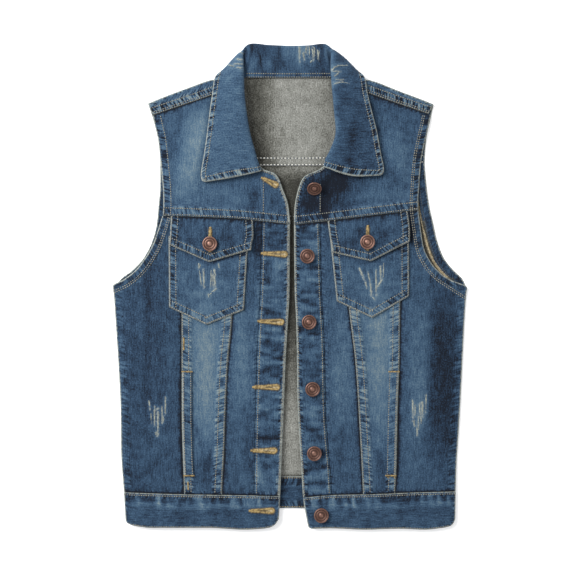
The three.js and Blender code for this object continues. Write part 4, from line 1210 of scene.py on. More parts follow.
class Finishes:
    """All finishes of the vest, made once."""

    def __init__(self) -> None:
        """Make each material."""
        groups = (yarn_group(), pucker_group(), edge_group())
        self.denim = ClothFinish(
            "denim_right_side", INDIGO, slub=0.55, speckle=0.60, mottle=0.30, pucker=0.23, bump=0.5,
        ).make(groups)
        self.inside = ClothFinish(
            "denim_wrong_side", UNDYED, slub=0.40, speckle=1.00, mottle=0.40, pucker=0.08, bump=0.7,
        ).make(groups)
        self.tan = ThreadFinish("thread_tan", (0.32, 0.30, 0.225), (0.15, 0.15, 0.125)).make()
        self.beige = ThreadFinish("thread_beige", (0.48, 0.40, 0.25), (0.26, 0.20, 0.11)).make()
        self.gold = ThreadFinish("thread_gold", (0.37, 0.265, 0.105), (0.15, 0.10, 0.035)).make()
        self.white = ThreadFinish("thread_white", (0.70, 0.69, 0.63), (0.42, 0.42, 0.38)).make()
        self.cream = ThreadFinish("thread_cream", (0.36, 0.38, 0.32), (0.19, 0.21, 0.19)).make()
        # Dark threads that paint shade: stitch_shade in rows' grooves, shade_brown in slits and hem folds
        self.shade = ThreadFinish("stitch_shade", (0.036, 0.054, 0.080), (0.018, 0.028, 0.044)).make()
        self.brown = ThreadFinish("shade_brown", (0.060, 0.044, 0.020), (0.022, 0.018, 0.012)).make()
        self.copper = CopperFinish().make()


FINISHES = Finishes()


# Sewing


class Thread(Enum):
    """Where a stitch's long side points."""

    ALONG = 0.0
    ACROSS = math.pi / 2


@dataclass(frozen=True)
class Stitch:
    """Sizes of one kind of stitch, in millimetres."""

    pitch: float
    length: float
    width: float
    height: float
    thread: Thread = Thread.ALONG


TOPSTITCH = Stitch(2.7, 1.9, 1.15, 0.75)
# Dark strokes that paint shade: in a row's groove, round a buttonhole and on a turned hem
SHADE_STROKE = Stitch(2.7, 3.0, 1.9, 0.5)
WIDE_TOPSTITCH = Stitch(4.0, 3.2, 1.6, 0.9)
SATIN = Stitch(0.8, 3.9, 1.0, 0.9, Thread.ACROSS)
TACK = Stitch(0.7, 2.4, 0.85, 0.9, Thread.ACROSS)
TACK_LIFT = 0.2
OVERLOCK = Stitch(1.1, 5.0, 1.0, 0.7, Thread.ACROSS)
FRAY = Stitch(1.3, 2.0, 0.6, 0.4)
# Strokes that paint the shade in a buttonhole's slit and along a hem's inner fold
SLIT = Stitch(0.8, 1.7, 0.9, 0.5)
# How far a stitch may turn out of its line, in radians
STITCH_WOBBLE = 0.12


def stitch_tree() -> Tree:
    """Return the Geometry Nodes tree that sets stitches along a mesh of lines."""
    numbers = dict.fromkeys(("Pitch", "Length", "Width", "Height", "Turn"), "Float")
    inputs = {"Geometry": "Geometry", **numbers, "Thread": "Material"}
    kit, given, result = new_group(
        "stitches_along_lines", "GeometryNodeTree", inputs, {"Geometry": "Geometry"}
    )
    kit.tree.is_modifier = True
    curve = kit.add("GeometryNodeMeshToCurve", {"Mesh": given["Geometry"]})
    spaced = kit.add(
        "GeometryNodeResampleCurve", {"Curve": curve.outputs["Curve"], "Length": given["Pitch"]},
        mode="LENGTH",
    )
    normal = kit.add("GeometryNodeInputNamedAttribute", {"Name": "up"}, data_type="FLOAT_VECTOR")
    tangent = kit.add("GeometryNodeInputTangent")
    upright = kit.add(
        "FunctionNodeAxesToRotation",
        {"Primary Axis": normal.outputs["Attribute"], "Secondary Axis": tangent.outputs["Tangent"]},
        primary_axis="Z", secondary_axis="X",
    )
    wobble = kit.add("FunctionNodeRandomValue", data_type="FLOAT")
    kit.give(wobble, {"Seed": 5, "Min": -STITCH_WOBBLE, "Max": STITCH_WOBBLE})
    angle = kit.math("ADD", given["Turn"], wobble.outputs["Value"])
    euler = kit.add("ShaderNodeCombineXYZ", {"Z": angle})
    turn = kit.add("FunctionNodeEulerToRotation", {0: euler.outputs[0]})
    turned = kit.add(
        "FunctionNodeRotateRotation",
        {"Rotation": upright.outputs["Rotation"], "Rotate By": turn.outputs[0]}, rotation_space="LOCAL",
    )
    ball = kit.add("GeometryNodeMeshIcoSphere", {"Radius": 0.5, "Subdivisions": 1})
    sizes = {"X": given["Length"], "Y": given["Width"], "Z": given["Height"]}
    size = kit.add("ShaderNodeCombineXYZ", sizes)
    copies = kit.add("GeometryNodeInstanceOnPoints", {
        "Points": spaced.outputs["Curve"], "Instance": ball.outputs["Mesh"],
        "Rotation": turned.outputs["Rotation"], "Scale": size.outputs[0],
    })
    real = kit.add("GeometryNodeRealizeInstances", {"Geometry": copies.outputs["Instances"]})
    smooth = kit.add("GeometryNodeSetShadeSmooth", {"Geometry": real.outputs["Geometry"]})
    painted = {"Geometry": smooth.outputs["Geometry"], "Material": given["Thread"]}
    paint = kit.add("GeometryNodeSetMaterial", painted)
    kit.give(result, {"Geometry": paint.outputs["Geometry"]})
    return kit.tree


@dataclass
class Sewing:
    """The stitches of one kind and thread, along any number of lines."""

    name: str
    stitch: Stitch
    material: bpy.types.Material
    lines: list[tuple[Array, Array]] = field(default_factory=list)
    # Sewing that paints the shade in the groove under each of this one's rows
    groove: "Sewing | None" = None

    def add(self, line: Array, up: Array | None = None) -> None:
        """Add a line of stitches.

        Args:
            line: Its points in millimetres.
            up: The cloth's normal at each point, or none where the cloth lies flat.
        """
        if up is None:
            up = np.tile([0.0, 0.0, 1.0], (len(line), 1))
        self.lines.append((line, up))
        if self.groove:
            # Painted shade: a dark line just under the stitches
            self.groove.add(line - 0.1 * up, up)

    def build(self, tree: Tree) -> bpy.types.Object:
        """Return all the stitches as one plain mesh that rides."""
        points = np.concatenate([line for line, _ in self.lines])
        ups = np.concatenate([up for _, up in self.lines])
        joined, start = [], 0
        for line, _ in self.lines:
            joined += [(i, i + 1) for i in range(start, start + len(line) - 1)]
            start += len(line)
        mesh = new_mesh(self.name, points, joined, [])
        attribute(mesh, "up", ups)
        obj = placed(self.name, mesh)
        modifier = obj.modifiers.new("stitches", "NODES")
        modifier.node_group = tree
        sizes = ("pitch", "length", "width", "height")
        values = {name.title(): getattr(self.stitch, name) * MM for name in sizes}
        values.update({"Turn": self.stitch.thread.value, "Thread": self.material})
        for item in tree.interface.items_tree:
            if item.item_type == "SOCKET" and item.in_out == "INPUT" and item.name in values:
                modifier[item.identifier] = values[item.name]
        bpy.context.view_layer.update()
        shown = obj.evaluated_get(bpy.context.evaluated_depsgraph_get())
        plain = bpy.data.meshes.new_from_object(shown)
        obj.modifiers.remove(modifier)
        obj.data = plain
        bpy.data.meshes.remove(mesh)
        LOG.info("%s: %d stitches' faces", self.name, len(plain.polygons))
        return dress(obj, None)


def sewing_kind(name: str, stitch: Stitch, finish: str) -> Sewing:
    """Return the field for one kind of sewing, in a thread that is named in the finishes."""
    return field(default_factory=lambda: Sewing(name, stitch, getattr(FINISHES, finish)))


@dataclass
class SewingBox:
    """All the vest's sewing, by kind."""

    fronts: Sewing = sewing_kind("topstitching_fronts", TOPSTITCH, "tan")
    # Dark strokes of painted shade in the rows' grooves, round buttonholes and on the hems
    grooves: Sewing = sewing_kind("painted_stitch_shade", SHADE_STROKE, "shade")
    back: Sewing = sewing_kind("topstitching_back", WIDE_TOPSTITCH, "white")
    collar: Sewing = sewing_kind("topstitching_collar", TOPSTITCH, "tan")
    gold_rows: Sewing = sewing_kind("gold_topstitching", TOPSTITCH, "gold")
    # Painted shade in the buttonholes' slits and along the back's hem folds
    slit_and_hem_shade: Sewing = sewing_kind("painted_slit_and_hem_shade", SLIT, "brown")
    linings: Sewing = sewing_kind("buttonhole_fillings", SATIN, "beige")
    holes: Sewing = sewing_kind("buttonhole_stitches", SATIN, "gold")
    tacks: Sewing = sewing_kind("bar_tacks", TACK, "gold")
    overlock: Sewing = sewing_kind("overlocked_hems", OVERLOCK, "beige")
    fray: Sewing = sewing_kind("frayed_threads", FRAY, "cream")

    def __post_init__(self) -> None:
        """Let the rows that sink into the cloth share the dark strokes that paint the shade in their
        grooves.
        """
        for kind in (self.fronts, self.collar, self.back):
            kind.groove = self.grooves

    def build(self) -> list[bpy.types.Object]:
        """Return every kind that has lines, as objects."""
        tree = stitch_tree()
        return [kind.build(tree) for kind in vars(self).values() if kind.lines]


# Sub-assemblies


@dataclass
class Back:
    """The back: three panels, a yoke and a waistband, wrong side up."""

    tone: float = 0.68
    under_tone: float = 0.34
    pieces: list[Panel] = field(default_factory=list)

    def __post_init__(self) -> None:
        """Work out the pieces."""
        left, right = BACK.smooth("left"), BACK.smooth("right")
        waist = BACK_WAIST_SEAM.smooth("up", HALF_GAP)
        yoke_seam = BACK_YOKE_SEAM.smooth("up", -HALF_GAP)

        def soil_and_shadow(x: Array, y: Array, near: Near) -> Array:
            """Return the uneven tone of the undyed side, with painted shadow beside the collar's leaves
            and down the gap between the fronts, and darker towards the armholes.
            """
            # Painted shadows: beside the collar's left leaf, beside its right leaf, and in the gap between
            # the fronts; then darker cloth towards the armholes
            beside_leaf = x - np.interp(y, [410, 460, 510], [-28, -37, -40])
            shade = 0.58 * bump(beside_leaf, 18) * ramp(y, 400, 430)
            shade += 0.16 * bump(x - 46, 15) * ramp(y, 400, 430)
            shade += 0.70 * ramp(y, 424, 398) * ramp(y, 110, 260)
            shade += 0.14 * ramp(np.abs(x), 118, 135) * ramp(y, 270, 290) * ramp(y, 480, 460)
            return 0.07 * noise_2d(x, y, 24.0, 5) + 0.06 * noise_2d(x, y, 5.0, 6) - shade

        inner = dict(
            top=yoke_seam, under=LIE.back_under, tone=self.tone, under_tone=self.under_tone,
            face=Face.WRONG, step=3.0, fades=False, pucker=0.4, extra_wear=soil_and_shadow,
        )
        low = {"bottom": Edge.LOW, "top": Edge.LOW}
        side = dict(bottom=waist, size=(125, 365), turned=FELL_WIDTH)
        seams = {
            (name, way): BACK.smooth(f"{name}_seam", way * HALF_GAP)
            for name in ("left", "right") for way in (-1, 1)
        }
        across = dict(left=left, right=right)
        self.pieces = [
            Panel(
                "back_side_left", left, seams["left", -1], seed=2,
                thick=hemmed("left", 282, 290), edges={"left": Edge.FOLD, **low}, **side, **inner,
            ),
            Panel(
                "back_side_right", seams["right", 1], right, seed=3,
                thick=hemmed("right", 282, 290), edges={"right": Edge.FOLD, **low}, **side, **inner,
            ),
            Panel(
                "back_centre", seams["left", 1], seams["right", -1], bottom=waist, size=(150, 360),
                edges=low, seed=4, **inner,
            ),
            Panel(
                "back_yoke", bottom=BACK_YOKE_SEAM.smooth("up", HALF_GAP), size=(310, 100),
                thick=two_felled, edges={"left": Edge.FOLD, "right": Edge.FOLD, "bottom": Edge.SEWN},
                rows={"bottom": (0.9, 8.4)}, reach={"bottom": 9.0}, turned=FELL_WIDTH, seed=5,
                **across, **{**inner, "top": SHOULDER_LINE.smooth("up")},
            ),
            Panel(
                "waistband_back", bottom=BACK_HEM.smooth("up"), **across,
                top=BACK_WAIST_SEAM.smooth("up", -HALF_GAP), size=(380, 35),
                under=lambda x, y: np.zeros_like(x), thick=even(WAISTBAND_THICK), tone=0.22,
                under_tone=self.under_tone, face=Face.BOTH, fades=False, crossgrain=True, seed=6,
                edges={"bottom": Edge.FOLD, "top": Edge.RAISED}, rows={"bottom": (2.2,), "top": (1.6,)},
            ),
        ]

    def sew(self, sewing: SewingBox) -> None:
        """Add the back's rows of stitches, and the dark strokes that paint the shade along its hems."""
        side_left, side_right, _, yoke, band = self.pieces
        yoke.sew(sewing.back)
        band.sew(sewing.gold_rows)
        hems = (side_left, "left", 0.6), (side_right, "right", 0.6), (yoke, "left", 0), (yoke, "right", 0)
        for piece, name, start in hems:
            # Overlock thread, then a painted shade line on the turned hem and a painted shadow at its
            # inner fold
            for kind, past in ((sewing.overlock, 0.8), (sewing.grooves, -2.6), (sewing.slit_and_hem_shade, 3.6)):
                kind.add(piece.row(name, FELL_WIDTH + past, start))


# Folded edges of a flap or a pocket, and the stitches beside them
THREE_FOLDS = dict.fromkeys(SIDES[:3], Edge.FOLD)
TWO_ROWS = dict.fromkeys(SIDES[:3], (1.4, 8.0))
# Rows of stitches along an armhole
ARMHOLE_ROWS = (7.2, 9.4)
# Share of the side panel's outer line at which the armhole starts
ARMHOLE_START = 0.758
# Upright bar tacks on the wedge panel: lower and upper end, and the distance from its outer line
WEDGE_TACKS = both_sides("low high away",
    ((207.0, 221.0, 2.5), (46.0, 55.0, 5.0)),
    ((60.0, 70.0, 2.0), (60.0, 70.0, 9.5)),
)


def over_front(x: Array, y: Array) -> Array:
    """Return the underside of a piece that lies on a front, clear of the front's own creases."""
    return LIE.front_under(x, y) + OVER_PANEL + 0.1


@dataclass
class FrontSide:
    """One front: its panels, yoke, waistband, pocket, flap and welt."""

    side: Side
    tones: dict[str, float] = field(default_factory=dict)
    panels: dict[str, Panel] = field(default_factory=dict)

    def __post_init__(self) -> None:
        """Work out the pieces."""
        self.mirror = 1 if self.side is Side.LEFT else -1
        self.outer, self.inner = ("left", "right") if self.mirror > 0 else ("right", "left")
        # The left front's inner edge gets a wider cream line: painted light where the rounded edge turns
        # away from the key light
        self.rim = 3.2 if self.mirror > 0 else 1.6
        self.add_body()
        self.add_yoke()
        self.add_shoulder()
        self.add_waistband()
        self.add_pocket()
        self.add_flap()
        self.add_welt()

    def add(self, kind: str, seed: int, outer: Line, inner: Line, **given: object) -> None:
        """Add a panel, on the front's own height unless another is given, in this side's own tone."""
        given = {"under": LIE.front_under, **given, "tone": self.tones.get(kind, given["tone"])}
        left, right = (outer, inner) if self.mirror > 0 else (inner, outer)
        seed += 20 * (self.mirror > 0)
        self.panels[kind] = Panel(f"{kind}_{self.side.value}", left, right, seed=seed, **given)

    def add_body(self) -> None:
        """Work out the four panels below the chest seam."""
        table, name = FRONT[self.side.value], self.side.value

        def line(column: str, into: int) -> Line:
            """Return a seam's line, moved half a seam gap into the piece."""
            return table.smooth(column, self.mirror * into * HALF_GAP)

        def side_wear_and_shade(x: Array, y: Array, near: Near) -> Array:
            """Return the darker turned hem of the armhole, with the marks of its stitching, and painted
            shade along the hand pocket's mouth.
            """
            at = self.panels["side"].beside(self.outer, x, y)
            hem = ramp(at.away, 9.2, 7.8) * ramp(y, 268, 282)
            marks = noise_1d(at.along + 0.3 * at.away, 5.2, 33) + 0.4 * noise_1d(at.along, 2.6, 34)
            # Painted shade along the mouth of the hand pocket, beside the welt
            mouth = bump(near.side(self.inner), 2.6) * ramp(y, WELT_BOTTOM - 2, WELT_BOTTOM + 4)
            return hem * (0.17 * marks - 0.05) - 0.25 * mouth * ramp(y, WELT_TOP + 2, WELT_TOP - 4)

        def placket_wear(x: Array, y: Array, near: Near) -> Array:
            """Return the paler strip along the placket's seam."""
            return 0.12 * bump(near.side(self.outer) - 1.5, 3.5)

        low, raised, sewn, fold = Edge.LOW, Edge.RAISED, Edge.SEWN, Edge.FOLD
        shared = dict(
            bottom=WAIST_SEAM[name].smooth("up", HALF_GAP),
            top=CHEST_SEAM[name].smooth("up", -HALF_GAP),
            rests_on=("cloth_back_centre",),
        )

        def panel(
            kind: str, seed: int, columns: str, into: tuple[int, int], finish: tuple[Edge, Edge],
            **given: object,
        ) -> None:
            """Add one of the four, from its outer and inner columns, their moves and their finishes."""
            sides = [line(column, way) for column, way in zip(columns.split(), into)]
            edges = {self.outer: finish[0], self.inner: finish[1], "bottom": low, "top": low}
            self.add(kind, seed, *sides, edges=edges, **shared, **given)

        panel(
            "side", 10, "outer pocket_seam", (0, -1), (fold, low), size=(70, 300),
            thick=hemmed(self.outer, 272, 284), tone=0.27, pucker=0.6, crumple=0.25,
            extra_wear=side_wear_and_shade, step=1.8,
        )
        panel(
            "wedge", 11, "pocket_seam princess", (1, -1), (raised, raised), size=(55, 320),
            thick=two_felled, tone=0.38, pucker=1.3, band=0.10,
            rows={self.outer: (1.3, 8.2), self.inner: (1.3, 8.2)},
        )
        panel(
            "centre", 12, "princess placket", (1, -1), (low, sewn), size=(36, 320),
            tone=0.31, pucker=0.7,
        )
        panel(
            "placket", 13, "placket edge", (1, 0), (sewn, fold), size=(32, 320),
            thick=even(PLACKET_THICK), tone=0.34, pucker=1.1, crumple=2.0,
            step=1.6, rows={self.outer: (2.4,), self.inner: (2.0,)}, extra_wear=placket_wear,
            reach={self.inner: 5.5, self.outer: 4.5}, worn={self.inner: self.rim},
        )

    def add_yoke(self) -> None:
        """Work out the yoke."""
        table, name = YOKE[self.side.value], self.side.value
        armhole_rows = (9.0,) if self.mirror > 0 else ARMHOLE_ROWS

        def thick(x: Array, y: Array, near: Near) -> Array:
            """Return the thickness of the yoke, with its armhole, band and placket."""
            outer, inner = near.side(self.outer), near.side(self.inner)
            armhole = felled(outer) * ramp(y, 478, 470)
            band = (1 + 1.2 * ramp(np.abs(x), 39, 43)) * ramp(near.bottom, 13, 11.5)
            placket = (PLACKET_THICK - CLOTH) * ramp(inner, 32, 29) * ramp(y, 418, 400)
            return CLOTH + np.maximum(armhole, np.maximum(band, placket))

        def wear(x: Array, y: Array, near: Near) -> Array:
            """Return the worn line beside the placket's row of stitches, and the darker armhole hem."""
            across, low, high = YOKE_PLACKET[name]
            line = 0.10 * bump(x - across + 1.5, 1.5) * ramp(y, high + 4, high) * ramp(near.bottom, 10, 13)
            return line - 0.12 * ramp(near.side(self.outer), 9.5, 8.0)

        self.add(
            "yoke_front", 15, table.smooth("outer"), table.smooth("edge"),
            bottom=CHEST_SEAM[name].smooth("up", HALF_GAP),
            top=SHOULDER_SEAM[name].smooth("up"), size=(130, 140), thick=thick, extra_wear=wear,
            edges={"left": Edge.FOLD, "right": Edge.FOLD, "bottom": Edge.RAISED, "top": Edge.LOW},
            rows={"bottom": (2.0, 9.2), self.outer: armhole_rows, self.inner: (2.6,)},
            reach={self.inner: 5.0}, band=0.05, worn={self.inner: self.rim},
            tone=0.35, rests_on=("cloth_back_yoke",),
        )

    def add_shoulder(self) -> None:
        """Work out the strip on the shoulder."""
        name = self.side.value
        end = Rows("up x", ((474, -157.5 * self.mirror), (491, -164 if self.mirror > 0 else 166)))
        self.add(
            "shoulder", 16, end.straight("x"), fixed(-67.0 * self.mirror), size=(93, 10),
            bottom=SHOULDER_SEAM[name].smooth("up", SEAM_GAP), top=SHOULDER_LINE.smooth("up"),
            thick=even(CLOTH + FELL_RAISE), rows={"bottom": (0.9, 3.0, 8.2)},
            edges={self.outer: Edge.FOLD, "bottom": Edge.RAISED, "top": Edge.FOLD},
            reach={"bottom": 9.0, "top": 2.0}, tone=0.40,
            pucker=2.0, step=1.8, rests_on=("cloth_back_yoke",),
        )

    def add_waistband(self) -> None:
        """Work out the waistband."""
        table, name = FRONT[self.side.value], self.side.value

        def puffs(x: Array, y: Array, near: Near) -> Array:
            """Return the broad pale puckers below the seam and the worn ridge at half height."""
            broad = noise_1d(x + 0.15 * y, 5.2, 51) + 0.5 * noise_1d(x, 2.8, 52)
            ridge = bump(near.top - 13.5 - 1.6 * noise_1d(x, 16.0, 53), 1.8)
            ridge *= 0.6 + 0.5 * noise_1d(x, 22.0, 54)
            return 0.42 * np.maximum(broad, -0.3) * bump(near.top - 6.5, 8.0) + 0.20 * ridge

        self.add(
            "waistband", 17, table.smooth("outer"), table.smooth("edge"), bottom=HEM[name].smooth("up"),
            top=WAIST_SEAM[name].smooth("up", -HALF_GAP), size=(175, 40),
            thick=even(WAISTBAND_THICK), tone=0.30, under_tone=0.3,
            edges={**THREE_FOLDS, "top": Edge.RAISED}, rows={"top": (2.4,)},
            reach={"top": 5.0, "bottom": 2.5, self.outer: 3.0, self.inner: 4.0},
            pucker=0.8, crumple=0.5, step=1.9, face=Face.BOTH, crossgrain=True, extra_wear=puffs,
            rests_on=("cloth_waistband_back",),
        )

    def add_pocket(self) -> None:
        """Work out the chest pocket."""
        name = self.side.value
        point = FLAP_POINT[name].straight("up")
        middle = FLAP_POINT[name].rows[1][0]

        def mouth(x: Array, y: Array, near: Near) -> Array:
            """Return the painted shadow that the flap's lower edge casts on the pocket, deeper to the
            right.
            """
            # Painted shadow of the flap, deeper towards its right end
            return -0.26 * ramp(point(x) - y, 4.5, 2.0) * (0.3 + 0.7 * ramp(x - middle, -14, 22))

        self.add(
            "pocket", 18, POCKET[name].smooth(self.outer), POCKET[name].smooth(self.inner),
            bottom=POCKET_POINT[name].straight("up"), top=fixed(POCKET_TOP[name]), size=(88, 95),
            under=over_front, edges=THREE_FOLDS, rows=TWO_ROWS, tone=0.33,
            pucker=1.1, crumple=0.6, step=1.6, extra_wear=mouth, rests_on=(f"cloth_wedge_{name}",),
        )

    def add_flap(self) -> None:
        """Work out the pocket's flap."""
        name = self.side.value
        top = CHEST_SEAM[name].smooth("up", -SEAM_GAP)
        point = FLAP_POINT[name].straight("up")

        def under(x: Array, y: Array) -> Array:
            """Return the underside of the flap, which rides over the pocket's mouth."""
            over = (CLOTH + LAYER_GAP) * ramp(top(x) - y, 2, 13)
            return LIE.front_under(x, y) + OVER_PANEL + over + FLAP_LIFT * ramp(y - point(x), 22, 0)

        self.add(
            "flap", 19, FLAP[name].smooth(self.outer), FLAP[name].smooth(self.inner),
            bottom=point, top=top, size=(93, 45), under=under, thick=even(FLAP_THICK),
            edges={**THREE_FOLDS, "top": Edge.LOW}, rows=TWO_ROWS, tone=0.275,
            pucker=1.2, crumple=0.8, rests_on=(f"cloth_pocket_{name}",),
        )

    def add_welt(self) -> None:
        """Work out the welt of the hand pocket."""
        seam = FRONT[self.side.value]
        outer = seam.smooth("pocket_seam", self.mirror)
        inner = seam.smooth("pocket_seam", self.mirror * (1 + WELT_WIDTH))
        self.add(
            "welt", 20, outer, inner, bottom=fixed(WELT_BOTTOM), top=fixed(WELT_TOP), size=(11, 122),
            edges={self.outer: Edge.FOLD, self.inner: Edge.SEWN, "bottom": Edge.SEWN, "top": Edge.SEWN},
            under=over_front, rows={self.outer: (1.8,), self.inner: (1.2,)}, pucker=0.7, step=1.5,
            tone=0.40, rests_on=(f"cloth_wedge_{self.side.value}",),
        )

    def at_button(self, index: int) -> Panel:
        """Return the piece that a button or its hole is on, counted from the top."""
        kind = {0: "yoke_front", 5: "waistband"}.get(index, "placket")
        return self.panels[kind]

    def sew(self, sewing: SewingBox) -> None:
        """Add the front's rows of stitches and tacks."""
        tan, panels = sewing.fronts, self.panels
        for kind in ("wedge", "placket", "shoulder", "waistband", "pocket", "flap", "welt"):
            panels[kind].sew(tan)
        panels["yoke_front"].sew(tan, {self.outer: (0.0, 0.97), self.inner: (0.0, 0.42)})
        across, low, high = YOKE_PLACKET[self.side.value]
        y = np.linspace(low, high, 14)
        tan.add(panels["yoke_front"].on_top(np.full_like(y, across), y))
        for offset in ARMHOLE_ROWS:
            tan.add(self.to_side_seam(panels["side"].row(self.outer, offset, ARMHOLE_START)))
        tan.add(panels["waistband"].row("bottom", 1.6, 0.05, 0.95))
        self.tack(sewing, WELT_TOP - 1.0)
        self.tack(sewing, WELT_BOTTOM + 1.5)
        wedge = panels["wedge"]
        for low, high, away in WEDGE_TACKS[self.side.value].rows:
            y = np.linspace(low, high, 6)
            x = getattr(wedge, self.outer)(y) + self.mirror * away
            sewing.tacks.add(wedge.on_top(x, y, TACK_LIFT))

    def to_side_seam(self, row: Array) -> Array:
        """Return the armhole's row of stitches, carried on to the side seam."""
        panel = self.panels["side"]
        way = row[0, :2] - row[1, :2]
        way /= np.linalg.norm(way)
        more = row[0, :2] + np.outer(np.arange(30, 0, -1), way)
        room = self.mirror * (more[:, 0] - getattr(panel, self.outer)(more[:, 1]))
        more = more[room > 1.2]
        return np.vstack([panel.on_top(more[:, 0], more[:, 1]), row])

    def tack(self, sewing: SewingBox, up: float) -> None:
        """Add a bar tack across the welt at a height."""
        panel = self.panels["welt"]
        y = np.full(8, up)
        x = np.linspace(float(panel.left(y)[0]) - 0.6, float(panel.right(y)[0]) + 0.6, 8)
        sewing.tacks.add(panel.on_top(x, y, TACK_LIFT))


# Valleys down the leaves: across at places along them, and where each starts and ends
RIGHT_VALLEY = Rows("up across", ((400, 69), (470, 73), (500, 71)))
LEFT_VALLEY = Rows("up across", ((400, -84), (500, -64)))
RIGHT_ENDS, LEFT_ENDS = (398, 410, 485, 455), (398, 430, 500, 460)
# Limits, in fifths from the neck to the edge, between which the stand ends and the leaf starts
STAND_END, LEAF_START = (2.15, 1.85), (2.6, 3.4)
# Thickness left at the rim, as a share, and the width over which the rim is rounded
RIM_SHARE, RIM_WIDTH = 0.3, 1.1
# Wear on the collar's puckers, of its mottling, of the stand's slubs and at the leaf's points;
# the right leaf darker, partly less faded and partly painted shade, and painted shade in its valley
PUCKER_FADE, MOTTLE_FADE, SLUB_FADE, POINT_FADE = 0.06, 0.05, 0.22, 0.12
RIGHT_SHADE, VALLEY_SHADE = 0.18, 0.13


@dataclass
class Collar:
    """The collar: stand and leaf in one fold, round the neck."""

    tone: float = 0.43
    stand_tone: float = 0.29
    edge_row: float = 5.6
    corner: float = 4.0
    neck_rows: tuple[float, ...] = (1.2, 5.4)
    pucker_rise: float = 0.24
    right_depth: float = 0.9
    left_depth: float = 0.4
    ladder: float = 1.9
    sections: int = 8
    across: int = 8

    @staticmethod
    def spline(points: Array, at: Array) -> Array:
        """Return the centripetal spline's point at each place from 0 to 1 along a row of points."""
        ends = np.vstack([2 * points[0] - points[1], points, 2 * points[-1] - points[-2]])
        count = len(points) - 1
        place = np.clip(at, 0, 1) * count
        i = np.minimum(place.astype(int), count - 1)
        t = (place - i)[:, None]
        p0, p1, p2, p3 = ends[i], ends[i + 1], ends[i + 2], ends[i + 3]

        def root(a: Array, b: Array) -> Array:
            """Return the square root of the distances between points."""
            return np.sqrt(np.linalg.norm(a - b, axis=1))[:, None]

        d0, d1, d2 = root(p0, p1), root(p1, p2), root(p2, p3)
        d1 = np.where(d1 < 1e-4, 1.0, d1)
        d0, d2 = np.where(d0 < 1e-4, d1, d0), np.where(d2 < 1e-4, d1, d2)
        t1 = ((p1 - p0) / d0 - (p2 - p0) / (d0 + d1) + (p2 - p1) / d1) * d1
        t2 = ((p2 - p1) / d1 - (p3 - p1) / (d1 + d2) + (p3 - p2) / d2) * d1
        return p1 + t * (t1 + t * (3 * (p2 - p1) - 2 * t1 - t2 + t * (2 * (p1 - p2) + t1 + t2)))

    def middle(self) -> Array:
        """Return the grid of the wall's middle, a row for each section."""
        columns = np.array(COLLAR.rows[::-1], float).reshape(len(COLLAR.rows), 4, 3)
        at = np.linspace(0, 1, (len(COLLAR.rows) - 1) * self.sections + 1)
        neck, fold, leaf, edge = (self.spline(columns[:, k], at) for k in range(4))
        tangent = self.spline(columns[:, 1], at + 1e-4) - self.spline(columns[:, 1], at - 1e-4)
        tangent /= np.linalg.norm(tangent, axis=1)[:, None]
        inward = (neck + leaf) / 2 - fold
        inward -= tangent * (inward * tangent).sum(1)[:, None]
        inward *= COLLAR_ROLL / np.linalg.norm(inward, axis=1)[:, None]
        aside = -np.cross(tangent, inward)
        even = np.linspace(0, 1, 5 * self.across + 1)
        self.at = np.unique(np.concatenate([even, [0.004, 0.012, 0.965, 0.982, 0.989, 0.995]]))
        rows = []
        for i in range(len(at)):
            roll = [fold[i] + inward[i] - aside[i], fold[i], fold[i] + inward[i] + aside[i]]
            rows.append(self.spline(np.array([neck[i], *roll, leaf[i], edge[i]]), self.at))
        return np.array(rows)

    def measure(self) -> None:
        """Work out the grid, its normals and the distances on it."""
        self.grid = self.middle()
        along, over = np.gradient(self.grid, axis=0), np.gradient(self.grid, axis=1)
        normal = -np.cross(along, over)
        self.normal = normal / np.linalg.norm(normal, axis=-1)[..., None]
        step = np.linalg.norm(np.diff(self.grid, axis=1), axis=-1)
        start = np.zeros((len(self.grid), 1))
        self.from_neck = np.concatenate([start, np.cumsum(step, axis=1)], axis=1)
        self.to_edge = self.from_neck[:, -1:] - self.from_neck
        self.run = self.lengths(self.grid[:, -1])
        self.length = self.lengths(self.grid[:, self.grid.shape[1] // 2])
        self.to_end = np.minimum(self.run, self.run[-1:] - self.run)
        self.rim = np.minimum(self.to_edge, self.to_end)
        self.part = self.at[None, :] * 5 + 0 * self.to_edge
        self.leaf = ramp(self.part, *LEAF_START)

    def rounded(self, face: Array) -> Array:
        """Return a face of the wall with the leaf's two points rounded off."""
        over, along = np.gradient(self.grid, axis=1), np.gradient(self.grid, axis=0)
        over /= np.linalg.norm(over, axis=-1)[..., None]
        outward = np.where(self.run < self.run[-1:] / 2, -1, 1)[..., None]
        along *= outward / np.linalg.norm(along, axis=-1)[..., None]
        past_edge = np.maximum(self.corner - self.to_edge, 0.0)
        past_end = np.maximum(self.corner - self.to_end, 0.0)
        reach = np.maximum(np.hypot(past_edge, past_end), 1e-6)
        pull = 1 - np.maximum(past_edge, past_end) / reach
        return face - over * (past_edge * pull)[..., None] - along * (past_end * pull)[..., None]

    def lengths(self, line: Array) -> Array:
        """Return the distance along a line of the grid, for each of the grid's points."""
        run = np.concatenate([[0.0], np.cumsum(np.linalg.norm(np.diff(line, axis=0), axis=-1))])
        return run[:, None] * np.ones((1, self.grid.shape[1]))

    def frill(self, along: Array, away: Array, seed: int) -> Array:
        """Return the puckers beside an edge, from the distances along it and away from it."""
        wave = noise_1d(along, 5.0, seed) + 0.5 * noise_1d(along, 3.1, seed + 1)
        return wave * ramp(away, 8, 4.5) * ramp(away, 0.2, 1.5)

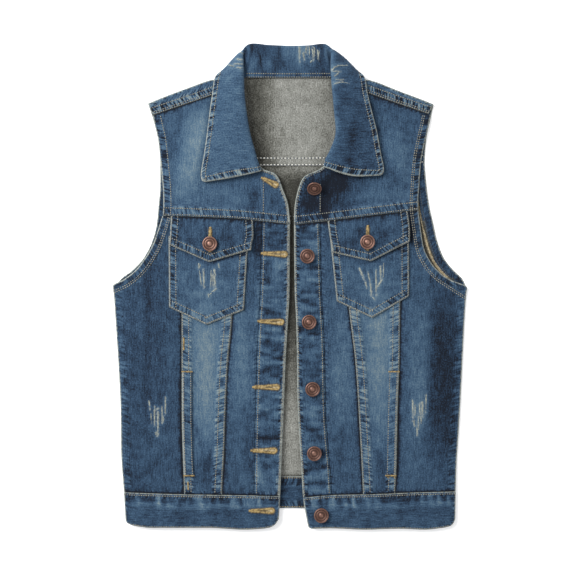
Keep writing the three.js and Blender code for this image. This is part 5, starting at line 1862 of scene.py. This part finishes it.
    def valley(self, line: Rows, ends: tuple[float, ...], strength: float = 1.0) -> Array:
        """Return a soft valley down a leaf, from its line and its ends."""
        x, y = self.grid[..., 0], self.grid[..., 1]
        fade = ramp(y, *ends[:2]) * ramp(y, *ends[2:])
        return strength * bump(x - line.straight("across")(y), 6.0) * fade

    def scratches(self, width: float) -> Array:
        """Return the scratches of the face that looks up."""
        upwards = self.normal[..., 2] > 0.1
        return scratched(self.grid[..., 0], self.grid[..., 1], FRAYS["collar"], width) * upwards

    def worn(self, pucker: Array, valley: Array) -> Array:
        """Return the wear of the upper face, from its puckers, with painted shade over the right leaf and
        in its valley.
        """
        x, y = self.grid[..., 0], self.grid[..., 1]
        stand = ramp(self.part, *STAND_END) * ramp(y, 505, 515)
        wear = self.tone + (self.stand_tone - self.tone) * stand
        wear = wear + PUCKER_FADE * pucker + MOTTLE_FADE * noise_2d(self.run, self.from_neck, 11.0, 75)
        wear = wear + SLUB_FADE * stand * noise_2d(self.length, self.from_neck * 0.35, 5.5, 78)
        # The right leaf darker, partly less faded and partly painted shade, and painted shade in its
        # valley
        wear = wear - RIGHT_SHADE * self.leaf * ramp(x, 20, 60) - VALLEY_SHADE * valley * self.leaf
        point = POINT_FADE * bump(self.rim, 9.0) * ramp(self.to_end, 14, 4) * ramp(self.to_edge, 14, 4)
        return np.clip(wear + point + 0.2 * self.scratches(3.0), 0, 1)

    def build(self, sewing: SewingBox) -> bpy.types.Object:
        """Return the collar as an object that stands for its node."""
        self.measure()
        to_edge, to_end, run, rim = self.to_edge, self.to_end, self.run, self.rim
        crown = RIM_SHARE + (1 - RIM_SHARE) * np.sqrt(1 - (1 - np.clip(rim / RIM_WIDTH, 0, 1)) ** 2)
        pucker = self.frill(run, to_edge, 71)
        pucker = pucker + self.frill(to_edge, to_end, 73) * ramp(to_edge, 4, 8)
        right = self.valley(RIGHT_VALLEY, RIGHT_ENDS)
        left = self.valley(LEFT_VALLEY, LEFT_ENDS, strength=0.6)
        soft = -(self.right_depth * right + self.left_depth * left) * self.leaf
        half = COLLAR_THICK / 2
        shift = np.stack([0 * soft, 0 * soft, soft], axis=-1)
        raised = half * crown + self.pucker_rise * pucker
        upper = self.grid + self.normal * raised[..., None] + shift
        lower = self.grid - self.normal * (half * crown)[..., None] + shift
        upper, lower = (self.rounded(np.maximum(face, [-1e3, -1e3, 0.0])) for face in (upper, lower))
        self.upper = upper
        seam_edge, seam_end = (
            np.stack([along * MM, away * MM, self.ladder * ramp(away, 7.4, 5.4)], axis=-1)
            for along, away in ((run, to_edge), (to_edge, to_end))
        )
        under_wear = 0.30 + 0.05 * noise_2d(run, self.from_neck, 9.0, 77)
        edge = np.maximum(bump(rim, 1.5), 0.7 * bump(np.hypot(to_edge, to_end), 7.0))
        edge = np.maximum(edge, 0.6 * self.scratches(1.6))
        shell = ClothMesh(
            upper=upper, lower=lower, wear=(self.worn(pucker, right), under_wear),
            edge=(edge, 0.6 * bump(rim, 1.5)), seams=(seam_edge, seam_end),
            uv=np.stack([self.length, self.from_neck], axis=-1),
        )
        obj = shell.make("collar", Face.BOTH, np.zeros(rim.shape, bool))
        self.sew(sewing)
        return obj

    def sew(self, sewing: SewingBox) -> None:
        """Add the row of stitches round the leaf and the rows along the neck."""
        inset, rows = self.edge_row, []
        for i in range(len(self.upper)):
            if self.to_end[i, -1] < inset:
                continue
            distance = self.to_edge[i][::-1]
            parts = (self.upper[i][::-1], self.normal[i][::-1])
            rows.append([np.interp(inset, distance, part[:, k]) for part in parts for k in range(3)])
        edge_row = np.array(rows)
        edge_row[:, 2] = np.maximum(edge_row[:, 2], LOWEST_STITCH)
        sewing.collar.add(edge_row[:, :3], edge_row[:, 3:])
        half = len(self.upper) // 2
        for first, last in ((0, half), (half, len(self.upper))):
            i = first + int(np.argmin(np.abs(self.to_end[first:last, -1] - inset)))
            keep = (self.to_edge[i] > inset) & (self.at > 0.45)
            sewing.collar.add(self.upper[i][keep], self.normal[i][keep])
        foot = self.upper[:, 1]
        neck = np.flatnonzero((np.abs(foot[:, 0]) < 50) & (foot[:, 1] > 515))
        for offset in self.neck_rows:
            j = int(np.argmin(np.abs(self.from_neck[neck[len(neck) // 2]] - offset)))
            sewing.collar.add(self.upper[neck, j], self.normal[neck, j])

    def height(self, x: Array, y: Array) -> Array:
        """Return the height of the face that shows from above, at the closest points of the grid."""
        points = self.upper[self.normal[..., 2] > 0.2]
        apart = np.hypot(points[:, 0] - x.ravel()[:, None], points[:, 1] - y.ravel()[:, None])
        close = apart < np.maximum(3.0, apart.min(axis=1)[:, None])
        return np.where(close, points[:, 2], -1.0).max(axis=1).reshape(x.shape)


@dataclass
class Buttons:
    """The tack buttons of the front and of the flaps."""

    segments: int = 40
    front_polish: float = 0.76
    flap_polish: float = 1.0
    profile: Rows = Rows("radius height worn", (
        (0, 0, 0.3), (3.6, 0, 0.3), (3.6, 0.7, 0.3), (2.2, 1.0, 0.2), (2.2, 2.4, 0.2), (7.6, 2.6, 0.3),
        (8.2, 2.9, 0.5), (8.5, 3.4, 0.7), (8.4, 3.9, 0.85), (8.05, 4.3, 0.95), (7.5, 4.42, 0.85),
        (7.0, 4.3, 0.5), (6.6, 3.95, 0.2), (6.1, 3.8, 0.2), (5.6, 3.95, 0.4), (5.2, 4.2, 0.75),
        (4.7, 4.2, 0.7), (4.3, 3.95, 0.4), (3.5, 3.8, 0.2), (2.9, 3.95, 0.4), (2.5, 4.35, 0.7),
        (2.0, 4.68, 0.95), (1.2, 4.8, 1.0), (0, 4.82, 1.0),
    ))

    def build(
        self, node: str, x: float, y: float, cloth: Surface, turn: float, polish: float
    ) -> bpy.types.Object:
        """Return one button on the cloth.

        Args:
            node: The node that it stands for.
            x: Where its foot is, across.
            y: Where its foot is, along.
            cloth: The height of the cloth's upper face.
            turn: How far it tips towards the hem, in radians.
            polish: How bright its worn parts are, up to 1.

        Returns:
            The button's object.
        """
        rows, n = np.array(self.profile.rows, float), self.segments
        angle = np.linspace(0, 2 * math.pi, n, endpoint=False)
        ring = rows[1:-1]
        points = [(0.0, 0.0, rows[0, 1])]
        points += [(r * math.cos(a), r * math.sin(a), h) for r, h, _ in ring for a in angle]
        points.append((0.0, 0.0, rows[-1, 1]))
        worn = [rows[0, 2], *np.repeat(ring[:, 2], n), rows[-1, 2]]
        faces = [(0, 1 + (k + 1) % n, 1 + k) for k in range(n)]
        for low in range(1, 1 + (len(ring) - 1) * n, n):
            quads = [(k, (k + 1) % n, (k + 1) % n + n, k + n) for k in range(n)]
            faces += [tuple(low + k for k in quad) for quad in quads]
        last = 1 + (len(ring) - 1) * n
        faces += [(last + k, last + (k + 1) % n, len(points) - 1) for k in range(n)]
        co = np.array(points)
        c, s = math.cos(turn), math.sin(turn)
        co = np.column_stack([co[:, 0], co[:, 1] * c - co[:, 2] * s, co[:, 1] * s + co[:, 2] * c])
        foot = BUTTON_FOOT * np.array([(0, 0), (1, 0), (-1, 0), (0, 1), (0, -1)])
        heights = cloth(x + foot[:, 0], y + foot[:, 1]) - foot[:, 1] * math.tan(turn)
        mesh = new_mesh(node, co + [x, y, heights.max() + LAYER_GAP], [], faces)
        attribute(mesh, "wear", polish * np.array(worn))
        mesh.materials.append(FINISHES.copper)
        mesh.update()
        return dress(placed(f"copper_{node}", mesh), node)


@dataclass
class Buttonholes:
    """Keyhole buttonholes in gold thread."""

    slit: float = 0.7
    eyelet: float = 2.5
    rim: float = 2.0
    flap_reach: tuple[float, float] = (16.5, -7.5)

    def outline(self, start: Array, end: Array) -> Array:
        """Return the stitches' line in the plan, from the inner end round the eyelet and back."""
        way = end - start
        length = float(np.linalg.norm(way))
        way = way / length
        side = np.array([-way[1], way[0]])
        along = np.linspace(0, length - 2, 12)
        half = self.slit + (self.eyelet - self.slit) * (along / length) ** 1.5
        turn = np.linspace(math.radians(125), math.radians(-125), 15)
        upper = start + np.outer(along, way) + np.outer(half, side)
        round_end = end + self.eyelet * (np.outer(np.cos(turn), way) + np.outer(np.sin(turn), side))
        lower = start + np.outer(along, way) - np.outer(half, side)
        return np.vstack([upper, round_end, lower[::-1]])

    def sew(self, sewing: SewingBox, fronts: dict[Side, FrontSide]) -> None:
        """Add the buttonholes of the front edge and of the flaps."""
        for i, (x0, y0, x1, y1) in enumerate(BUTTONHOLES.rows):
            panel = fronts[Side.LEFT].at_button(i)
            self.stitch(sewing, panel, np.array([x0 + 2.5, y0]), np.array([x1 + 0.5, y1]))
        for side, (x, y) in FLAP_BUTTON_SPOTS.items():
            panel = fronts[Side(side)].panels["flap"]
            small = Buttonholes(slit=0.4, eyelet=1.2)
            start, end = (y + reach for reach in self.flap_reach)
            small.stitch(sewing, panel, np.array([x + 0.5, start]), np.array([x, end]))

    def stitch(self, sewing: SewingBox, panel: Panel, start: Array, end: Array) -> None:
        """Sew one hole on a panel."""
        plan = self.outline(start, end)
        rim = Buttonholes(self.slit + self.rim, self.eyelet + self.rim).outline(start, end)
        way = (end - start) / np.linalg.norm(end - start)
        core = start + np.outer(np.linspace(0.2, 1.05, 9), end - start)
        bar = start + np.outer(np.linspace(-2.6, 1.5, 5), way)
        slit = start + np.outer(np.linspace(0.5, 0.78, 8), end - start)
        # The dark strokes round the rim paint the hole's shadow, and those in the slit paint its shade
        for kind, line, lift in (
            (sewing.holes, plan, 0.3), (sewing.grooves, rim, -0.05), (sewing.linings, core, 0.1),
            (sewing.holes, bar, 0.3), (sewing.slit_and_hem_shade, slit, 0.6),
        ):
            kind.add(panel.on_top(line[:, 0], line[:, 1], lift))


@dataclass
class Fraying:
    """Worn scratches where the white crosswise threads show."""

    strands: int = 4
    spread: float = 0.7

    def stitch(self, sewing: SewingBox, cloth: Surface, rows: Rows) -> None:
        """Add the threads of a table of scratches on one piece, at the height of its cloth."""
        jitter = np.random.default_rng(17)
        for x0, y0, x1, y1, strength in rows.rows:
            for _ in range(max(1, round(self.strands * strength))):
                low, high = np.sort(jitter.uniform(0, 1, 2) * [0.35, 1.0])
                share = np.linspace(low, max(high, low + 0.4), 6)
                x = x0 + (x1 - x0) * share + jitter.uniform(-1, 1) * self.spread
                x += jitter.uniform(-0.3, 0.3, 6)
                y = y0 + (y1 - y0) * share
                sewing.fray.add(np.column_stack([x, y, cloth(x, y) + 0.15]))

    def sew(self, sewing: SewingBox, fronts: dict[Side, FrontSide], collar: Collar) -> None:
        """Add the scratches of the pockets, the sides and the collar."""
        for side, front in fronts.items():
            for kind in ("pocket", "side"):
                self.stitch(sewing, front.panels[kind].top_height, FRAYS[f"{kind}_{side.value}"])
        self.stitch(sewing, collar.height, FRAYS["collar"])


# Studio


@dataclass(frozen=True)
class Studio:
    """A pale floor, soft light from the upper left and a camera that looks straight down."""

    span: float = 0.659
    lens: float = 100.0
    sensor: float = 36.0
    aim: tuple[float, float] = (-0.004, 0.0)
    middle_height: float = 0.008
    floor_reach: float = 6.0
    floor_drop: float = -0.0002

    def build(self) -> None:
        """Make the floor, the lights and the camera."""
        scene = bpy.context.scene
        scene.view_settings.view_transform = "Standard"
        world = bpy.data.worlds.new("studio")
        world.use_nodes = True
        sky = {"Color": (0.97, 0.98, 1.0, 1.0), "Strength": 0.45}
        NodeKit(world.node_tree).give(world.node_tree.nodes["Background"], sky)
        scene.world = world
        self.floor()
        self.light("key", (-1.5, 1.05, 1.6), 1.4, 88.0)
        self.light("fill", (1.2, -1.0, 2.0), 2.0, 16.0)
        camera = bpy.data.cameras.new("camera")
        camera.lens = self.lens
        camera.sensor_width = self.sensor
        obj = placed("camera", camera)
        obj.location = (*self.aim, self.span / self.sensor * self.lens + self.middle_height)
        scene.camera = obj

    def floor(self) -> None:
        """Make the floor."""
        mesh = bpy.data.meshes.new("floor")
        reach = self.floor_reach
        plan = ((-1, -1), (1, -1), (1, 1), (-1, 1))
        corners = [(x * reach, y * reach, self.floor_drop) for x, y in plan]
        mesh.from_pydata(corners, [], [(0, 1, 2, 3)])
        material, kit, shader = new_material("floor")
        kit.give(shader, {
            "Base Color": (0.93, 0.93, 0.93, 1), "Roughness": 0.95,
            "Emission Color": (1, 1, 1, 1), "Emission Strength": 0.3,
        })
        mesh.materials.append(material)
        obj = placed("floor", mesh)

    def light(self, name: str, place: tuple[float, float, float], size: float, power: float) -> None:
        """Add a soft square light that points at the vest."""
        data = bpy.data.lights.new(name, "AREA")
        data.size = size
        data.energy = power
        obj = placed(name, data)
        obj.location = place
        obj.rotation_euler = (-Vector(place)).to_track_quat("-Z", "Y").to_euler()


def main() -> None:
    """Build the vest and its studio."""
    logging.basicConfig(level=logging.INFO, format="%(name)s: %(message)s")
    sewing = SewingBox()
    back = Back()
    fronts = {
        Side.LEFT: FrontSide(Side.LEFT),
        Side.RIGHT: FrontSide(Side.RIGHT, {"side": 0.33, "yoke_front": 0.29, "placket": 0.32}),
    }
    panels = back.pieces + [panel for front in fronts.values() for panel in front.panels.values()]
    for panel in panels:
        panel.build()
    back.sew(sewing)
    for front in fronts.values():
        front.sew(sewing)
    neck = Collar()
    collar = neck.build(sewing)
    LOG.info("collar: %d faces", len(collar.data.polygons))
    Buttonholes().sew(sewing, fronts)
    Fraying().sew(sewing, fronts, neck)
    stitched = sewing.build()
    buttons = Buttons()
    for i, (x, y, turn) in enumerate(BUTTON_SPOTS.rows):
        panel = fronts[Side.RIGHT].at_button(i)
        buttons.build(f"button_{i + 1}", x, y, panel.top_height, turn, buttons.front_polish)
    for side, (x, y) in FLAP_BUTTON_SPOTS.items():
        panel = fronts[Side(side)].panels["flap"]
        buttons.build(f"flap_button_{side}", x, y, panel.top_height, 0.0, buttons.flap_polish)
    for panel in panels:
        area = panel.flat_area()
    Studio().build()


if __name__ == "__main__":
    main()
